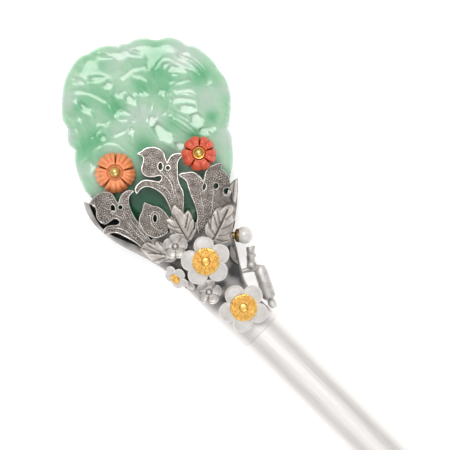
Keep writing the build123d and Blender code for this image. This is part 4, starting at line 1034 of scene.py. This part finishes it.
petal_shell, tree, shader = new_finish("petal_shell", IOR=1.6, Coat_Weight=0.3, Coat_Roughness=0.25,
                                       Subsurface_Weight=0.12, Subsurface_Scale=0.0006)
node = worn(tree, shader, (0.48, 0.45, 0.425), (0.61, 0.58, 0.55), 420.0, (0.5, 0.36), 0.0002)
body = mix_of(tree, painted(tree, "edge"), node.outputs["Color"], (0.75, 0.70, 0.66))
join(tree, body, shader.inputs["Base Color"])

stamen_gilt, tree, shader = new_finish("stamen_gilt", Metallic=1.0)
worn(tree, shader, (0.74, 0.40, 0.07), (1.0, 0.70, 0.25), 1700.0, (0.44, 0.28), 0.00015)

chance = random.Random(5)
for name, seat, (turn, tilt), size, breadth, boss, directions in BLOSSOMS:
    stand = Matrix.Translation(seat) @ turn_by(turn, "Z") @ turn_by(tilt, "X") @ Matrix.Scale(size, 4)
    petals = bmesh.new()
    edge_layer = petals.verts.layers.float.new("edge")
    for k, direction in enumerate(directions):
        # a flattened ball, its lower half pressed nearly flat, leaning outwards
        ball = bmesh.ops.create_uvsphere(petals, u_segments=40, v_segments=28, radius=PETAL_R)["verts"]
        for vert in ball:
            share = math.hypot(vert.co.x, vert.co.y) / (PETAL_R + 0.01)
            vert[edge_layer] = math.exp(-(((1 - share) / 0.16) ** 2))
            vert.co.z = 0.8 * (1 - share**4.5) ** 0.5 if vert.co.z > 0 else vert.co.z * 0.16
            vert.co.y *= 1.06
            vert.co.x *= 1.0 + 0.03 * math.sin(3 * math.atan2(vert.co.y, vert.co.x) + k)
        overlap = Matrix.Translation((PETAL_SPREAD, 0, 0.75 + 0.06 * k))
        bmesh.ops.transform(petals, matrix=turn_by(direction, "Z") @ overlap @ turn_by(9, "Y"), verts=ball)
    bmesh.ops.create_cone(petals, cap_ends=True, segments=40, radius1=2.9, radius2=2.7, depth=1.2,
                          matrix=Matrix.Translation((0, 0, 0.65)))
    below = boss / size
    bmesh.ops.create_cone(petals, cap_ends=True, segments=24, radius1=1.05, radius2=1.05, depth=below + 0.4,
                          matrix=Matrix.Translation((0, 0, 0.2 - below / 2)))
    bmesh.ops.transform(petals, matrix=stand, verts=petals.verts)
    set_piece(petals, "petals_" + name, petal_shell, 50.0, ("plum_blossom_" + name,))

    # the disc is cast with fine stamens that radiate from a dished eye to a ring of anthers
    disc = spun_sheet(DISC, 96)
    for k in range(STAMENS):
        way = Matrix.Rotation(math.tau * (k + chance.uniform(-0.3, 0.3)) / STAMENS, 4, "Z")
        reach = chance.uniform(2.45, 2.95)
        middle = Matrix.Translation(((reach + DISC_EYE) / 2, 0, DISC_FACE + chance.uniform(-0.04, 0.08)))
        bmesh.ops.create_cone(disc, cap_ends=True, segments=6, radius1=0.1, radius2=0.15,
                              depth=reach - DISC_EYE, matrix=way @ middle @ turn_by(92, "Y"))
        anther = chance.uniform(0.15, 0.24)
        tip = Matrix.Translation((reach, 0, DISC_FACE + chance.uniform(-0.1, 0.15)))
        bmesh.ops.create_icosphere(disc, subdivisions=1, radius=anther, matrix=way @ tip)
    for k in range(POLLEN):
        way = Matrix.Rotation(chance.uniform(0, math.tau), 4, "Z")
        spot = Matrix.Translation((chance.uniform(1.5, 2.95), 0, 2.2))
        bmesh.ops.create_icosphere(disc, subdivisions=1, radius=chance.uniform(0.1, 0.17), matrix=way @ spot)
    bmesh.ops.scale(disc, vec=(breadth, breadth, 1.0), verts=disc.verts)
    bmesh.ops.transform(disc, matrix=stand, verts=disc.verts)
    set_piece(disc, "stamens_" + name, stamen_gilt, 45.0, ("stamen_disc_" + name,))

# Small silver flowers: cast in one with five dished petals, a raised edge and a ball-headed pin
# through the middle, left dark in their hollows. They are soldered on short pegs.
# name, place of the underside, directions of the petals
SMALL_FLOWERS = (
    ("upper", (-8.9, 9.0, 8.0), (92, 20, -52, -124, 162)),
    ("lower", (-1.3, -1.3, 6.5), (88, 12, -58, -137, 150)),
)
# Radius, half a petal's angle, length of the peg below
FLOWER_R, HALF_PETAL, FLOWER_PEG = 2.85, 36, 0.5
flower_silver, tree, shader = new_finish("flower_silver", Metallic=1.0)
worn(tree, shader, (0.60, 0.565, 0.53), (0.84, 0.80, 0.765), 1300.0, (0.6, 0.46), 0.0001,
     shade=painted(tree, "hollow"), dark=(0.20, 0.18, 0.16))
for name, seat, directions in SMALL_FLOWERS:
    rings = [(k / 30, 1.0) for k in range(31)] + [(1.0, 0.4), (0.95, 0.0), (0.5, 0.0), (0.0, 0.0)]
    bm = spun_sheet(rings, 160)
    place = np.array([vert.co[:] for vert in bm.verts])
    out, angle = np.hypot(place[:, 0], place[:, 1]), np.arctan2(place[:, 1], place[:, 0])
    near = np.min([turn_gap(angle, d) for d in directions], axis=0)
    reach = FLOWER_R * (0.72 + 0.28 * np.clip(1 - (near / HALF_PETAL) ** 2, 0, 1) ** 0.5)
    spots = np.stack([out * reach * np.cos(angle), out * reach * np.sin(angle)], 1)
    dish = np.zeros(len(spots))
    for d in directions:
        petal = np.array([math.cos(math.radians(d)), math.sin(math.radians(d))]) * FLOWER_R * 0.6
        far = np.hypot(*(spots - petal).T)
        dish = np.maximum(dish, np.exp(-((far / (FLOWER_R * 0.31)) ** 4)))
    edge = bell(1 - out, 0.12)
    crease = bell(HALF_PETAL - near, 5.0) * np.clip(out * 2, 0, 1)
    ring = bell(out - 0.24, 0.05)
    lines = np.cos(np.radians(near * 14)) ** 8
    lines = lines * np.clip((out - 0.3) * 3, 0, 1) * np.clip((0.75 - out) * 6, 0, 1)
    high = 0.85 + 0.2 * out**2 + 0.2 * edge - 0.08 * dish - 0.1 * crease * (1 - edge) - 0.15 * ring
    dark = np.clip(0.5 * np.clip(out * 2, 0, 1) + 0.4 * crease + 0.9 * ring + 0.4 * lines - 0.9 * edge, 0, 1)
    for vert, (x, y), up in zip(bm.verts, spots, high * place[:, 2]):
        vert.co = (x, y, up)
    paint(bm, "hollow", dark * place[:, 2])
    bmesh.ops.create_uvsphere(bm, u_segments=16, v_segments=10, radius=0.4,
                              matrix=Matrix.Translation((0, 0, 0.95)))
    bmesh.ops.create_cone(bm, cap_ends=True, segments=20, radius1=1.0, radius2=1.0, depth=FLOWER_PEG + 0.3,
                          matrix=Matrix.Translation((0, 0, 0.15 - FLOWER_PEG / 2)))
    bmesh.ops.translate(bm, vec=seat, verts=bm.verts)
    set_piece(bm, "small_flower_" + name, flower_silver, 60.0, ("silver_flower_" + name,))

# Pearl: a small grey-white drop, drilled on one side and pushed on a brown-gold cap whose peg is
# fixed in the right edge of the cup.
PEARL, PEARL_R = (6.75, 11.5, 1.9), 2.03
COLLAR = (4.6, 11.5, 1.9)
pearl_lustre, tree, shader = new_finish("pearl_lustre", IOR=1.6, Coat_Weight=0.6, Coat_Roughness=0.08,
                                        Subsurface_Weight=0.3, Subsurface_Scale=0.0006)
worn(tree, shader, (0.56, 0.54, 0.495), (0.66, 0.645, 0.605), 320.0, (0.3, 0.2), 0.00003)
bm = bmesh.new()
ball = bmesh.ops.create_uvsphere(bm, u_segments=48, v_segments=32, radius=PEARL_R)["verts"]
for vert in ball:
    vert.co.x *= 0.97
    vert.co.y *= 1.0 + 0.04 * vert.co.y / PEARL_R
bmesh.ops.translate(bm, vec=PEARL, verts=bm.verts)
set_piece(bm, "drop_pearl", pearl_lustre, 180.0, ("pearl",))

brown_gold, tree, shader = new_finish("brown_gold", Metallic=1.0)
worn(tree, shader, (0.10, 0.065, 0.032), (0.40, 0.27, 0.11), 1400.0, (0.55, 0.32), 0.0002)
bm = spun_sheet(((0.0, -0.9), (0.75, -0.9), (0.9, -0.5), (0.8, -0.1), (1.35, 0.15), (1.55, 0.45), (1.6, 0.95),
                 (1.45, 1.0), (1.1, 0.7), (0.0, 0.5)), 40)
bmesh.ops.transform(bm, matrix=Matrix.Translation(COLLAR) @ turn_by(90, "Y"), verts=bm.verts)
set_piece(bm, "pearl_collar", brown_gold, 50.0, ("pearl_cap",))

# Sprig: a cast silver bamboo stem beside the neck, with a thick jointed culm, a thin shoot above it
# and a twig by which it is soldered to the neck.
# Height of the stems' middle, then of the culm, the shoot and the twig: u, v and radius along each
SPRIG_Z = 0.3
SPRIG_RUNS = (
    ((13.7, -5.1, 0.62), (13.35, -4.55, 0.95), (13.2, -4.2, 1.05), (13.0, -3.75, 0.95), (12.8, -3.3, 0.8),
     (12.6, -2.9, 1.25), (12.4, -2.5, 1.52), (12.0, -1.2, 1.6), (11.5, 0.5, 1.6), (10.9, 2.2, 1.55),
     (10.45, 3.4, 1.5), (10.3, 4.1, 1.3), (10.2, 4.55, 0.9)),
    ((8.7, 3.8, 1.0), (8.5, 4.4, 1.2), (8.4, 4.9, 1.15), (8.3, 5.4, 0.95), (8.25, 6.3, 0.95),
     (8.35, 6.6, 1.15), (8.4, 7.0, 1.15), (8.3, 7.3, 0.95), (8.2, 7.9, 0.95), (8.15, 8.5, 1.0),
     (8.1, 8.9, 0.85)),
    ((6.0, 3.2, 0.5), (6.8, 3.4, 0.55), (8.2, 3.7, 0.65), (9.6, 3.95, 0.8), (10.6, 4.05, 0.8)),
)
# Dark joints, and painted shade along the edges of the culm and shoot and between the stems: u, v, spread,
# strength
SPRIG_JOINTS_AND_SHADE = (
    (12.75, -3.3, 0.5, 0.9), (8.5, 3.9, 0.6, 0.8), (8.3, 5.5, 0.5, 0.6), (8.3, 7.35, 0.4, 0.8),
    (7.5, 6.2, 0.7, 0.7), (7.5, 8.2, 0.7, 0.6), (10.0, 1.6, 0.4, 0.7), (10.9, -0.9, 0.4, 0.7),
    (13.2, 0.0, 0.4, 0.7), (12.6, 1.9, 0.4, 0.7), (13.7, -1.8, 0.4, 0.7), (7.4, 3.2, 0.5, 0.5),
    (9.4, 4.9, 0.5, 0.6), (11.4, -2.6, 0.4, 0.7),
)
bm = bmesh.new()
for run in SPRIG_RUNS:
    previous = None
    line = [Vector((u, v, SPRIG_Z)) for u, v, radius in run]
    way = (line[-1] - line[0]).normalized()
    facing = way.to_track_quat("Z", "Y").to_matrix().to_4x4()
    for centre, (u, v, radius) in zip(line, run):
        capped = previous is None or centre == line[-1]
        ring = bmesh.ops.create_circle(bm, segments=28, radius=radius, cap_ends=capped,
                                       matrix=Matrix.Translation(centre) @ facing)["verts"]
        edges = list({edge for vert in ring for edge in vert.link_edges})
        if previous:
            bmesh.ops.bridge_loops(bm, edges=previous + edges)
        previous = edges
bmesh.ops.create_uvsphere(bm, u_segments=16, v_segments=10, radius=0.45,
                          matrix=Matrix.Translation((8.8, 8.75, 0.75)))
spots = np.array([(vert.co.x, vert.co.y) for vert in bm.verts])
paint(bm, "joint_and_shade", patches_of(spots, SPRIG_JOINTS_AND_SHADE))
sprig_silver, tree, shader = new_finish("sprig_silver", Metallic=1.0)
# dark at the joints, with painted shade along the stems' edges
worn(tree, shader, (0.52, 0.49, 0.47), (0.76, 0.73, 0.70), 420.0, (0.7, 0.6), 0.0001,
     shade=painted(tree, "joint_and_shade"), dark=(0.13, 0.12, 0.11))
set_piece(bm, "sprig_stem", sprig_silver, 60.0, ("bamboo_sprig",))

# Studio: a plain pale floor that the pin lies on, soft light from above and the left, and the
# camera straight above, turned so that the shaft runs to the lower right.
FLOOR_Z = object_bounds()[0].z - 0.00005
bm = bmesh.new()
bmesh.ops.create_grid(bm, x_segments=2, y_segments=2, size=2.0, matrix=Matrix.Translation((0.03, 0, FLOOR_Z)))
floor = linked_object("floor", mesh_of(bm, "floor"))
paper, tree, shader = new_finish("paper", Base_Color=(0.96, 0.96, 0.955, 1), Roughness=0.9,
                                 Emission_Color=(1, 1, 1, 1), Emission_Strength=0.34)
floor.data.materials.append(paper)

# name, place, aim, size, power, colour
LIGHTS = (
    ("key", (-0.36, 0.20, 0.68), (-0.02, 0.0, 0.0), 0.42, 3.3, (1.0, 0.99, 0.97)),
    ("fill", (0.45, -0.25, 0.55), (0.0, 0.0, 0.0), 0.6, 1.7, (0.97, 0.98, 1.0)),
    ("top", (0.0, 0.0, 0.9), (0.0, 0.0, 0.0), 0.6, 0.35, (1.0, 1.0, 1.0)),
)
for name, place, aim, size, power, colour in LIGHTS:
    lamp = bpy.data.lights.new(name, "AREA")
    lamp.shape, lamp.size, lamp.energy, lamp.color = "SQUARE", size, power, colour
    light = linked_object(name, lamp)
    light.location = place
    light.rotation_euler = (Vector(aim) - Vector(place)).to_track_quat("-Z", "Y").to_euler()
world = bpy.data.worlds.new("studio")
world.use_nodes = True
world.node_tree.nodes["Background"].inputs["Color"].default_value = (0.93, 0.95, 0.97, 1)
world.node_tree.nodes["Background"].inputs["Strength"].default_value = 0.6
bpy.context.scene.world = world
bpy.context.scene.view_settings.view_transform = "Standard"

lens = bpy.data.cameras.new("camera")
lens.lens, lens.sensor_width = 135, 36
camera = linked_object("camera", lens)
camera.location = (-0.0232, 0.01145, 0.389)
camera.rotation_euler = (0, 0, HEAD_TURN)
lens.clip_start, lens.clip_end = 0.01, 10
bpy.context.scene.camera = camera
